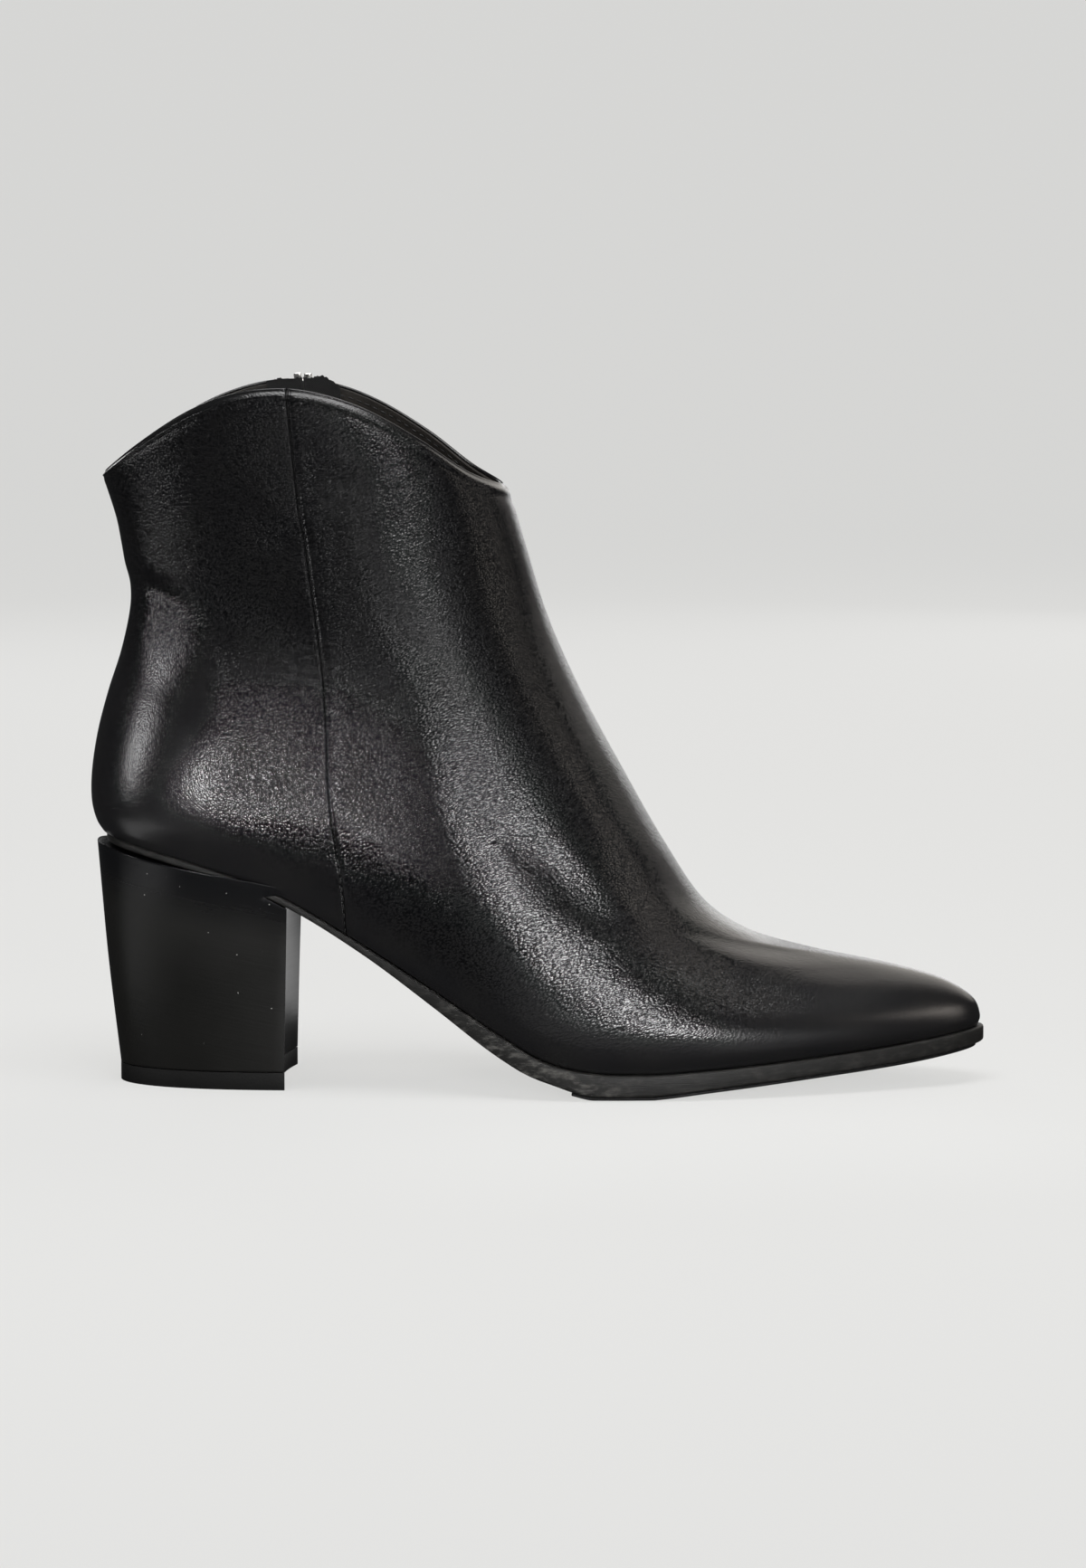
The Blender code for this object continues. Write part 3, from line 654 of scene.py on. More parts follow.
def make_lining():
    levels = np.linspace(*LINING_LEVELS, LINING_ROWS)
    rows = [(level, 0.0) for level in levels] + [(1.0, -LINING_DROP - 0.3), (1.0, -LINING_DROP)]
    columns = (-LINING_SLOT, 0.0, LINING_SLOT)
    grids = []
    for depth in (LINING_FACE, WALL):
        lines = []
        for level, lift in rows:
            outer_side = skin(level, across_upper(level, columns, -1), -1, depth, lift)
            inner_side = skin(level, across_upper(level, columns, 1)[1:-1], 1, depth, lift)
            lines.append(np.concatenate((outer_side, inner_side[::-1])))
        grids.append(np.stack(lines))
    keep = around_slot(rows, grids[0].shape[1], columns, LINING_SLOT)
    points, faces = wall_mesh(*grids, keep, closed=True)
    tints = ((0.020, 0.0175, 0.0155), (0.034, 0.030, 0.026))
    return add_piece("lining", points, faces, plain_leather("lining_leather", tints, 0.55))


def row_tree(name, sizes, make_item):
    """A node tree that sets an item at even steps along a path, standing in the path's out direction."""
    tree = bpy.data.node_groups.new(name, "GeometryNodeTree")
    tree.interface.new_socket("Geometry", in_out="INPUT", socket_type="NodeSocketGeometry")
    for size in ("Pitch", *sizes):
        tree.interface.new_socket(size, in_out="INPUT", socket_type="NodeSocketFloat")
    tree.interface.new_socket("Finish", in_out="INPUT", socket_type="NodeSocketMaterial")
    tree.interface.new_socket("Geometry", in_out="OUTPUT", socket_type="NodeSocketGeometry")
    nodes = Nodes(tree)
    given = nodes.add("NodeGroupInput")
    path = nodes.add("GeometryNodeMeshToCurve", {"Mesh": given.output("Geometry")})
    steps = {"Curve": path, "Length": given.output("Pitch")}
    places = nodes.add("GeometryNodeResampleCurve", steps, mode="LENGTH")
    out = nodes.add("GeometryNodeInputNamedAttribute", {"Name": "out"}, data_type="FLOAT_VECTOR")
    item, forward = make_item(nodes, given)
    axes = {"Primary Axis": out, "Secondary Axis": forward}
    turn = nodes.add("FunctionNodeAxesToRotation", axes, primary_axis="Z", secondary_axis="X")
    items = {"Points": places, "Instance": item, "Rotation": turn}
    copies = nodes.add("GeometryNodeInstanceOnPoints", items)
    real = nodes.add("GeometryNodeRealizeInstances", {"Geometry": copies})
    shaded = nodes.add("GeometryNodeSetShadeSmooth", {"Geometry": real})
    sockets = {"Geometry": shaded, "Material": given.output("Finish")}
    nodes.add("NodeGroupOutput", {"Geometry": nodes.add("GeometryNodeSetMaterial", sockets)})
    return tree


def settle(piece):
    """Makes what the piece's modifiers give its own plain mesh."""
    graph = bpy.context.evaluated_depsgraph_get()
    mesh = bpy.data.meshes.new_from_object(piece.evaluated_get(graph))
    piece.modifiers.clear()
    piece.data = mesh
    return piece


def add_row(name, paths, directions, tree, sizes, finish):
    """Items of a row tree along paths in millimetres. Directions are vectors along them, by their names."""
    mesh = bpy.data.meshes.new(name)
    starts = np.cumsum([0] + [len(path) for path in paths])
    edges = [(i, i + 1) for start, end in zip(starts, starts[1:]) for i in range(start, end - 1)]
    mesh.from_pydata(np.concatenate(paths) * METRES, edges, [])
    for direction, vectors in directions.items():
        layer = mesh.attributes.new(direction, "FLOAT_VECTOR", "POINT")
        layer.data.foreach_set("vector", np.ravel(vectors))
    piece = add_object(name, mesh)
    modifier = piece.modifiers.new(name, "NODES")
    modifier.node_group = tree
    for socket in tree.interface.items_tree:
        if socket.in_out == "INPUT" and socket.name in sizes:
            modifier[socket.identifier] = sizes[socket.name] * METRES
        elif socket.name == "Finish":
            modifier[socket.identifier] = finish
    return settle(piece)


def one_stitch(nodes, given):
    """A rounded stitch that lies along the path."""
    ball = nodes.add("GeometryNodeMeshUVSphere", {"Segments": 8, "Rings": 6, "Radius": 0.5})
    thick = given.output("Thickness")
    shape = nodes.add("ShaderNodeCombineXYZ", {"X": given.output("Length"), "Y": thick, "Z": thick})
    stitch = nodes.add("GeometryNodeTransform", {"Geometry": ball, "Scale": shape})
    return stitch, nodes.add("GeometryNodeInputTangent")


STITCHES = row_tree("stitches", ("Length", "Thickness"), one_stitch)
THREAD_TINTS = ((0.003, 0.003, 0.0033), (0.010, 0.0098, 0.0095))
BLACK_THREAD = plain_finish("black_thread", THREAD_TINTS, (0.45, 0.2), (0.25, 1.0), (0.25, 1.0, 0.05))


def stitch_row(name, paths, out):
    """Stitches along paths. Out is the direction that they stand in, for each path's points."""
    sizes = {"Pitch": STITCH_PITCH, "Length": STITCH_LENGTH, "Thickness": THREAD}
    row = add_row(name, paths, {"out": np.concatenate(out)}, STITCHES, sizes, BLACK_THREAD)
    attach(row, "boot")


lining = make_lining()
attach(lining, "boot")


def collar_run(first, last, side):
    """A path inside the collar between two stations, and the direction into the boot along it."""
    stations = np.linspace(first, last, 60)
    path = skin(1.0, stations, side, WALL, -STITCH_DROP)
    return path, skin(1.0, stations, side, WALL + 1, -STITCH_DROP) - path


def side_run(levels, offset, side, depth=0.0):
    """A path up the upper beside the zip or in the side seam, and the direction out of the leather."""
    stations = [[beside_seam(level, offset, side)] for level in levels]
    path, deeper = (
        np.concatenate([skin(level, place, side, sunk) for level, place in zip(levels, stations)])
        for sunk in (depth, depth + 1)
    )
    return path, path - deeper


behind_zip, before_zip = beside_seam(1.0, (-LINING_SLOT - 3, LINING_SLOT + 3), 1)
collar_runs = (collar_run(0, 2, -1), collar_run(0, behind_zip, 1), collar_run(before_zip, 2, 1))
stitch_row("collar_stitches", *zip(*collar_runs))
beside_slot = SLOT_WIDTH / 2 + ZIP_THREAD
slot_levels = np.linspace(*ZIP_THREAD_LEVELS, 80)
zip_runs = (side_run(slot_levels, offset, 1) for offset in (-beside_slot, beside_slot))
stitch_row("zip_stitches", *zip(*zip_runs))
seam_run = side_run(np.linspace(*SEAM_THREAD_LEVELS, 60), SEAM_THREAD, -1, SEAM_THREAD_DEPTH)
stitch_row("seam_stitches", *zip(seam_run))


# The zip: two woven tapes sewn behind the slot, a closed chain of plated metal teeth, two stops and a slider
# at its top. The slider's bridge holds a flat pull tab, which hangs down the chain and swings outward.
GAP = 0.3
TAPE_REACH = 11.0
TAPE = 0.7
TAPE_FOOT = 0.02
TAPE_ROWS = 70
TAPE_COLUMNS = 26
TAPE_FRAY = 0.3
CHAIN_FOOT = 0.006
TOOTH_PITCH = 1.15
SLIDER_LENGTH = 9.0
SLIDER_WIDTH = 7.0
SLIDER_PROUD = 0.8
SLIDER_PLATE = 0.8
SLIDER_TAPER = 0.7
SLIDER_CORNER = 1.3
SLIDER_ROUND = 0.25
BRIDGE = 0.8
BRIDGE_SPAN = 6.0
BRIDGE_WIDTH = 2.0
BRIDGE_OPENING = 1.4
BRIDGE_ROOT = 0.1
BRIDGE_FULLNESS = 0.6
PULL = 0.8
PULL_LENGTH = 24.0
PULL_WIDTH = 5.0
PULL_WINDOW = 4.4
PULL_TIP = 0.75
PULL_NECK = 0.86
PULL_ROUND = 0.22

# The cut ends of the tapes: how far they rise above the collar at distances from the zip's line
TAPE_TOP = table(
    "offset rise",
    (-11.0, -0.6), (-7.0, 0.3), (-5.0, -0.2), (-3.6, -1.2), (-1.5, 0.4),
    (2.0, 0.3), (4.0, 1.0), (6.0, 1.6), (8.0, 1.0), (11.0, -0.4),
)


def woven_tape():
    """Black herringbone tape."""
    nodes = Finish("zip_tape")
    weave = {"Vector": nodes.place(1.0, 40), "Scale": 0.9, "Distortion": 0.6}
    ribs = nodes.add("ShaderNodeTexWave", weave, bands_direction="Z")
    fluff = nodes.noise(0.4, 2.0)
    return nodes.surface({
        "Base Color": nodes.mixed(ribs, (0.002, 0.002, 0.0022), (0.008, 0.008, 0.0082)),
        "Roughness": 0.75 + fluff * 0.2,
        "Normal": nodes.bump(ribs * 0.7 + fluff * 0.3, 0.15),
    })


def zip_frame(level):
    """The middle of the zip at a level and its directions: across to the front, up along it and outward."""
    middle = skin(level, [1.0], 1)[0]
    up = unit(ring(level + SMALL_STEP, [1.0], 1)[0] - ring(level - SMALL_STEP, [1.0], 1)[0])
    out = middle - skin(level, [1.0], 1, 1.0)[0]
    return middle, np.stack((np.cross(up, out), up, out))


def level_below_collar(distance):
    """The level that lies this far below the collar along the zip."""
    top = ring(1.0, [1.0], 1)[0]
    levels = np.linspace(1.0, SLOT_LEVEL, 400)
    drop = [np.linalg.norm(ring(level, [1.0], 1)[0] - top) for level in levels]
    return float(np.interp(distance, drop, levels))


def one_tooth(nodes, given):
    """A tooth clamped on one tape, with a round nose past the middle. Every other one is turned about."""
    width, height, depth = (given.output(size) for size in ("Width", "Height", "Depth"))
    size = nodes.add("ShaderNodeCombineXYZ", {"X": width, "Y": height, "Z": depth})
    aside = nodes.add("ShaderNodeCombineXYZ", {"X": width * 0.75})
    body = nodes.add("GeometryNodeMeshCube", {"Size": size})
    moved = nodes.add("GeometryNodeTransform", {"Geometry": body, "Translation": aside})
    nose_size = {"Vertices": 10, "Radius": height * 0.75, "Depth": depth * 0.8}
    nose = nodes.add("GeometryNodeMeshCylinder", nose_size)
    tooth = nodes.add("GeometryNodeJoinGeometry")
    for part in (moved, nose):
        nodes.tree.links.new(part.socket, tooth.socket.node.inputs[0])
    index = nodes.add("GeometryNodeInputIndex")
    odd = index.math("MODULO", index, 2.0)
    across = nodes.add("GeometryNodeInputNamedAttribute", {"Name": "across"}, data_type="FLOAT_VECTOR")
    turned = {0: across, "Scale": odd * 2.0 - 1.0}
    return tooth, nodes.add("ShaderNodeVectorMath", turned, operation="SCALE")


def make_teeth(finish):
    top = level_below_collar(SLIDER_LENGTH)
    frames = [zip_frame(level) for level in np.linspace(SLOT_LEVEL + CHAIN_FOOT, top, 160)]
    directions = np.stack([frame_directions for _, frame_directions in frames])
    path = np.stack([middle for middle, _ in frames]) - directions[:, 2] * (WALL + GAP) / 2
    tree = row_tree("zip_teeth", ("Width", "Height", "Depth"), one_tooth)
    sizes = {"Pitch": TOOTH_PITCH, "Width": 1.7, "Height": 0.85, "Depth": 1.5}
    vectors = {"across": directions[:, 0], "out": directions[:, 2]}
    return add_row("zip_teeth", [path], vectors, tree, sizes, finish)


def placed(zip_place, points):
    """Points given across, up and out from the middle of a zip frame."""
    middle, directions = zip_place
    return middle + np.asarray(points) @ directions


def plate(zip_place, outline, low, high, rounding):
    """A plate with rounded edges from an outline given across and up, between two distances out."""
    middle = np.mean(outline, axis=0)
    loops = []
    for share, out in ((rounding, low), (0, low + rounding), (0, high - rounding), (rounding, high)):
        shrunk = middle + (np.asarray(outline) - middle) * (1 - share / np.abs(outline - middle).max(axis=0))
        loops.append(placed(zip_place, np.column_stack((shrunk, np.full(len(outline), out)))))
    return loft_mesh(loops, ladder=False)


def loft_mesh(loops, ladder):
    """Points and faces of a solid through loops. Its ends are ladders between a loop's halves or one face."""
    count = len(loops[0])
    faces = []
    for i in range(len(loops) - 1):
        for j in range(count):
            k = (j + 1) % count
            faces.append((i * count + j, i * count + k, (i + 1) * count + k, (i + 1) * count + j))
    for start in (0, (len(loops) - 1) * count):
        if ladder:
            for j in range(count // 2 - 1):
                faces.append((start + j, start + j + 1, start + count - 2 - j, start + count - 1 - j))
        else:
            faces.append(tuple(range(start, start + count)))
    return np.concatenate(loops), [np.array(face) for face in faces]


def joined(parts):
    """Several pairs of points and faces as one."""
    points, faces, start = [], [], 0
    for part_points, part_faces in parts:
        points.append(part_points)
        faces += [np.asarray(face) + start for face in part_faces]
        start += len(part_points)
    return np.concatenate(points), faces


def rounded_box(half_top, half_bottom, half_length, radius):
    """A tapered outline with round corners, across and up."""
    corners = ((half_top, half_length, 0), (-half_top, half_length, 90))
    corners += ((-half_bottom, -half_length, 180), (half_bottom, -half_length, 270))
    outline = []
    for x, y, start in corners:
        middle = np.array((x - np.sign(x) * radius, y - np.sign(y) * radius))
        for turn in np.radians(start + np.linspace(0, 90, 6)):
            outline.append(middle + radius * np.array((np.cos(turn), np.sin(turn))))
    return np.array(outline)


def round_edges(piece, width, segments, angle):
    """Rounds the edges that turn by more than an angle in degrees."""
    bevel = piece.modifiers.new("rounding", "BEVEL")
    bevel.width = width * METRES
    bevel.segments = segments
    bevel.limit_method = "ANGLE"
    bevel.angle_limit = np.radians(angle)
    return settle(piece)


def make_slider(zip_place, finish):
    half_length = SLIDER_LENGTH / 2 - GAP
    half_width = SLIDER_WIDTH / 2
    outline = rounded_box(half_width, half_width - SLIDER_TAPER, half_length, SLIDER_CORNER)
    core = rounded_box(0.9, 0.5, half_length - 0.4, 0.4)
    back = GAP - WALL
    parts = [
        plate(zip_place, outline, SLIDER_PROUD - SLIDER_PLATE, SLIDER_PROUD, SLIDER_ROUND),
        plate(zip_place, outline, back, back + SLIDER_PLATE, SLIDER_ROUND),
        plate(zip_place, core + (0, 0.3), back + 0.2, SLIDER_PROUD - 0.2, 0.1),
    ]
    turn = np.linspace(0, np.pi, 17)
    outside = (BRIDGE_SPAN / 2, BRIDGE_OPENING + BRIDGE)
    inside = (BRIDGE_SPAN / 2 - BRIDGE, BRIDGE_OPENING)
    half_bridge = BRIDGE_WIDTH / 2
    edges = []
    for across, (span, rise) in ((-1, outside), (1, outside), (1, inside), (-1, inside)):
        out = SLIDER_PROUD - BRIDGE_ROOT + (rise + BRIDGE_ROOT) * np.sin(turn).clip(0) ** BRIDGE_FULLNESS
        points = np.column_stack((np.full(len(turn), across * half_bridge), -np.cos(turn) * span, out))
        edges.append(placed(zip_place, points))
    parts.append(loft_mesh(list(np.stack(edges, axis=1)), ladder=False))
    return add_piece("zip_slider_body", *joined(parts), finish, sharp=40)


def make_pull(zip_place, finish):
    """A flat tab with a window. The bar above the window lies under the slider's bridge."""
    out = SLIDER_PROUD + BRIDGE_OPENING / 2
    half_window = BRIDGE_WIDTH / 2 + GAP
    half_width = PULL_WIDTH / 2
    across = np.array((-half_width, -half_window, half_window, half_width))
    up = np.array((PULL / 2, -PULL / 2, -PULL_WINDOW, -2 * PULL_WINDOW, 2 - PULL_LENGTH, -PULL_LENGTH))
    narrowing = np.array((0.9, 1.0, 1.0, PULL_NECK, 1.0, PULL_TIP))
    grids = []
    for side in (1, -1):
        rows = [[(a * n, u, out + side * PULL / 2) for a in across] for u, n in zip(up, narrowing)]
        grids.append(placed(zip_place, rows))
    keep = np.ones((len(up) - 1, len(across) - 1), bool)
    keep[1, 1] = False
    tab = add_piece("pull_tab", *wall_mesh(*grids, keep, closed=False), finish, sharp=40)
    return round_edges(tab, PULL_ROUND, 3, 30)


def make_tape(name, first, last, finish):
    """One tape between two offsets from the zip's line, up to its frayed end by the collar."""
    levels = np.linspace(SLOT_LEVEL - TAPE_FOOT, 1.0, TAPE_ROWS)
    offsets = np.linspace(first, last, TAPE_COLUMNS)
    fray = np.random.default_rng(4).uniform(-TAPE_FRAY, TAPE_FRAY, TAPE_COLUMNS)
    rises = np.interp(offsets, column(TAPE_TOP, "offset"), column(TAPE_TOP, "rise")) + fray
    grids = []
    for depth in (WALL + GAP, WALL + GAP + TAPE):
        lines = [skin(level, beside_seam(level, offsets, 1), 1, depth) for level in levels]
        lines += [skin(1.0, beside_seam(1.0, offsets, 1), 1, depth, share * rises) for share in (0.5, 1.0)]
        grids.append(np.stack(lines))
    keep = np.ones((len(levels) + 1, len(offsets) - 1), bool)
    return add_piece(name, *wall_mesh(*grids, keep, closed=False), finish, sharp=50)


def make_stops(finish):
    """The two metal stops clamped on the tapes above the slider."""
    zip_place = zip_frame(1.0)
    parts = []
    for across, up in ((-1.5, 0.1), (1.5, 0.5)):
        outline = rounded_box(1.2, 1.0, 1.3, 0.5) + (across, up)
        parts.append(plate(zip_place, outline, GAP / 2 - WALL, -0.5, 0.2))
    return add_piece("zip_stops", *joined(parts), finish, sharp=40)


tape_finish = woven_tape()
metal_tints = ((0.42, 0.41, 0.39), (0.70, 0.69, 0.66))
scratches = ((3.0, 0.12, 0.2), 2.0, 0.012)
metal_finish = plain_finish("zip_metal", metal_tints, (0.20, 0.2), (1.5, 4.0), scratches, Metallic=1.0)
slider_place = zip_frame(level_below_collar(SLIDER_LENGTH / 2))
stops = make_stops(metal_finish)
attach(stops, "boot")
zip_pieces = (
    (make_tape("back_tape", -TAPE_REACH, -GAP / 2, tape_finish), "zip_tape_back", "zip_tape", "boot"),
    (make_tape("front_tape", GAP / 2, TAPE_REACH, tape_finish), "zip_tape_front", "zip_tape", "boot"),
    (make_teeth(metal_finish), "zip_chain", "zip_metal", "boot"),
    (make_slider(slider_place, metal_finish), "zip_slider", "zip_metal", "boot"),
    (make_pull(slider_place, metal_finish), "zip_pull", "zip_metal", "pull_tab"),
)
for piece, node, slot, body in zip_pieces:
    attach(piece, body)
    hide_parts(node)


# The insole: a dark brown leather board that the upper is lasted over. It is cut to the inside of the wall
# and lies on the sole.
INSOLE = 2.6
SOLE_EDGE_ROUND = 0.7
OUTLINE_STEPS = 150


def foot_outline(first_angle=0.0, last_angle=np.pi):
    """The upper's edge on the sole as a loop: outer side from back to front, then the inner side back."""
    half_step = (last_angle - first_angle) / OUTLINE_STEPS / 2
    start = first_angle + (half_step if first_angle == 0 else 0)
    angles = np.linspace(start, last_angle - half_step, OUTLINE_STEPS)
    edge = section_at(0.0)
    return np.concatenate((section_points(edge, angles, -1), section_points(edge, angles, 1)[::-1]))


def grown(loop, by):
    """The loop moved outward in plan by a distance that may differ from point to point."""
    along = np.roll(loop, -1, axis=0) - np.roll(loop, 1, axis=0)
    outward = unit(np.stack((along[:, 1], -along[:, 0]), axis=-1))
    result = loop.copy()
    result[:, :2] += outward * np.broadcast_to(by, len(loop))[:, None]
    return result


def slab(outline, grow, top, bottom, edge):
    """A slab under the foot between two heights along its length. Edge rows are its inset and lift."""
    full = grown(outline, grow)
    loops = []
    for height, sign in ((bottom, 1), (top, -1)):
        for inset, lift in edge[::sign]:
            loop = grown(outline, np.asarray(grow) - inset)
            loop[:, 2] = height(full[:, 0]) + sign * lift
            loops.append(loop)
    return loft_mesh(loops, ladder=True)


def rounded_edge(radius):
    """Inset and lift of a rounded edge, from the flat face to the side."""
    turns = np.radians((0, 30, 60, 90))
    return [(radius * (1 - np.sin(turn)), radius * (1 - np.cos(turn))) for turn in turns]


def make_insole():
    inside = -(WALL + 2 * GAP)
    board = slab(
        foot_outline(), inside, lambda x: sole_top(x) + INSOLE, sole_top, rounded_edge(SOLE_EDGE_ROUND)
    )
    finish = plain_leather("insole_leather", ((0.045, 0.039, 0.033), (0.075, 0.065, 0.055)), 0.6)
    return add_piece("insole_board", *board, finish, sharp=50)


insole = make_insole()
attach(insole, "boot")
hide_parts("insole")


# The outsole and its tread: a charcoal leather sole from heel to toe with a smooth, slightly scuffed edge,
# and a thin tread of black rubber glued under the forefoot.
TREAD = 0.9
TREAD_BACK = 11.0
TREAD_CLEAR = 2.0
TREAD_LEAD = 16.0
TREAD_INSET = 2.2
CHIP = (16.7, -41.0, 1.6)


def standing_height(x):
    """The underside of sole and tread together. It lies flat on the floor under the ball of the foot."""
    return np.maximum(sole_top(x) - read(SOLE_ROWS, "thickness", x), 0.0)


def sole_bottom(x):
    """The sole's own underside. Under the forefoot it leaves room for the tread."""
    return standing_height(x) + (TREAD + GAP) * ramp(x, TREAD_BACK - TREAD_LEAD, TREAD_BACK - TREAD_CLEAR)


def scuffed_sole():
    """Matte charcoal with fine scratches, dusty where the waist meets the ball, and one chip at the edge."""
    nodes = Finish("sole_leather")
    here = nodes.add("ShaderNodeTexCoord", output="Object")
    along = nodes.axis("X")
    dust = nodes.noise((5.0, 9.0, 2.0), 5.0, 0.7)
    scratches = nodes.noise((6.0, 6.0, 0.16), 3.0)
    waist = nodes.between(along, -0.032, -0.010) * (1.0 - nodes.between(along, 0.012, 0.034))
    dusty = nodes.between(dust, 0.45, 0.75) * (waist * 0.9 + 0.25)
    from_chip = {0: here, 1: tuple(METRES * place for place in CHIP)}
    chip_distance = nodes.add("ShaderNodeVectorMath", from_chip, output="Value", operation="DISTANCE")
    chip = 1.0 - nodes.between(chip_distance + dust * 0.0012, 0.0011, 0.0016)
    charcoal = nodes.mixed(dusty, (0.008, 0.0078, 0.0074), (0.06, 0.058, 0.054))
    return nodes.surface({
        "Base Color": nodes.mixed(chip, charcoal, (0.42, 0.41, 0.39)),
        "Roughness": 0.5 + dusty * 0.3,
        "Specular IOR Level": 0.22,
        "Normal": nodes.bump(scratches * 0.6 + dust * 0.6 - chip, 0.14),
    })


def make_outsole():
    outline = foot_outline()
    edge = read(SOLE_ROWS, "edge", outline[:, 0])
    sole = slab(outline, edge, lambda x: sole_top(x) - GAP, sole_bottom, rounded_edge(SOLE_EDGE_ROUND))
    return add_piece("sole", *sole, scuffed_sole(), sharp=50)


def make_tread(finish):
    low = section_at(0.0)
    share = (TREAD_BACK - low.back_x) / (low.front_x - low.back_x)
    front = foot_outline(np.arccos(1 - 2 * share))
    inset = read(SOLE_ROWS, "edge", front[:, 0]) - TREAD_INSET
    inset[0] = inset[-1] = 0.0
    tread = slab(front, inset, lambda x: standing_height(x) + TREAD, standing_height, rounded_edge(TREAD / 3))
    return add_piece("tread", *tread, finish, sharp=50)


outsole = make_outsole()
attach(outsole, "boot")
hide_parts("outsole")
rubber_tints = ((0.004, 0.004, 0.004), (0.008, 0.008, 0.0078))
dull = {"Specular IOR Level": 0.2}
rubber = plain_finish("black_rubber", rubber_tints, (0.5, 0.2), (12.0, 4.0), (0.7, 3.0, 0.1), **dull)
tread = make_tread(rubber)
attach(tread, "boot")
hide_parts("forepart_tread")


# The heel: a stacked block, stained and polished black, hollowed at its breast and dished on top to take the
# seat of the upper. A rubber top piece of 5 mm is nailed under it.
TOP_PIECE = 5.0
SEAT_CLEARANCE = 0.9
SEAT_CUT = 36.0
BREAST_HOLLOW = 3.0
BREAST_CORNER = 0.2
BREAST_REACH = 1.15
BREAST_CLEAR = 30.0
HEEL_SQUARENESS = 2.4
HEEL_ROUND = 0.25
LIFT_ROUND = 0.3
HEEL_STEPS = 44
HEEL_LEVELS = 11
RIM_BAND = 0.008
RIM_LEVEL = 44.0
RIM_SLOPE = 0.2

# The heel in plan at shares of the way up, and the height of its rim along the seat
HEEL_ROWS = table(
    "share back_x breast_x half_width",
    (0.0, -120.3, -71.3, 24.8),
    (0.5, -123.9, -70.7, 26.3),
    (0.85, -125.8, -70.2, 28.0),
    (1.0, -126.6, -70.0, 29.2),
)
RIM_ROWS = table(
    "x height",
    (-126.5, 69.2), (-112, 65.7), (-98.0, 63.1), (-85.0, 61.0), (-76.0, 59.4), (-72.0, 58.4), (-69.5, 57.2),
)


def polished_heel():
    """Satin black stain over stacked layers, with level streaks, painted shade that darkens the colour just
    under the rim, and dust.
    """
    nodes = Finish("heel_stack")
    below_rim = RIM_LEVEL * METRES - RIM_SLOPE * nodes.axis("X") - nodes.axis("Z")
    streaks = nodes.noise((30.0, 30.0, 0.6), 4.0, 0.6, 11)
    clouds = nodes.noise((18.0, 18.0, 26.0), 3.0)
    dust = {"Vector": nodes.place(4.0), "Scale": 1.0}
    specks = 1.0 - nodes.between(nodes.add("ShaderNodeTexVoronoi", dust), 0.03, 0.045)
    # Painted shade: the colour darkens towards the rim, where the upper's overhang would cast its shadow.
    painted_rim_shade = 1.0 - nodes.between(below_rim + streaks * 0.006, 0.006, 0.022)
    satin = nodes.mixed(clouds, (0.0045, 0.0045, 0.0042), (0.0085, 0.0082, 0.0074))
    stain_and_painted_shade = nodes.mixed(painted_rim_shade * 0.8, satin, (0.0022, 0.0023, 0.0030))
    return nodes.surface({
        "Base Color": nodes.mixed(specks, stain_and_painted_shade, (0.30, 0.30, 0.29)),
        "Roughness": 0.30 + clouds * 0.08 + streaks * 0.06 - painted_rim_shade * 0.14,
        "Specular IOR Level": 0.3,
        "Normal": nodes.bump(streaks, 0.03),
    })


def heel_loop(share, height):
    """The heel in plan at a share of its height: round at the back, straight at the breast."""
    back_x = read(HEEL_ROWS, "back_x", share)
    breast_x = read(HEEL_ROWS, "breast_x", share)
    half = read(HEEL_ROWS, "half_width", share)
    turn = np.linspace(np.pi / 4 / HEEL_STEPS, np.pi / 2, HEEL_STEPS)
    power = 2 / HEEL_SQUARENESS
    x = breast_x - (breast_x - back_x) * np.cos(turn).clip(0) ** power
    y = half * np.sin(turn) ** power
    loop_x = np.concatenate((x, x[::-1]))
    loop_y = np.concatenate((-y, y[::-1])) + SWING[0].offset
    return np.stack((loop_x, loop_y, height(loop_x) + 0 * loop_x), axis=-1)


def breast_loop(share, z):
    """The hollow in front of the breast at one height, a little wider than the heel."""
    breast_x = read(HEEL_ROWS, "breast_x", share)
    half = read(HEEL_ROWS, "half_width", share)
    across = np.linspace(-BREAST_REACH, BREAST_REACH, 33)
    x = breast_x + BREAST_CORNER - BREAST_HOLLOW * (1 - across**2)
    x = np.concatenate((x, [breast_x + BREAST_CLEAR] * 2))
    y = half * np.concatenate((across, [BREAST_REACH, -BREAST_REACH])) + SWING[0].offset
    return np.stack((x, y, z + 0 * x), axis=-1)


def carve(piece, cutters, rounding):
    """Cuts the shapes away, rounds the sharp edges and keeps the result as the piece's own mesh."""
    for cutter in cutters:
        cut = piece.modifiers.new(cutter.name, "BOOLEAN")
        cut.object = cutter
        cut.solver = "EXACT"
    round_edges(piece, rounding, 2, 50)
    piece.data.shade_smooth()
    piece.data.set_sharp_from_angle(angle=np.radians(40))


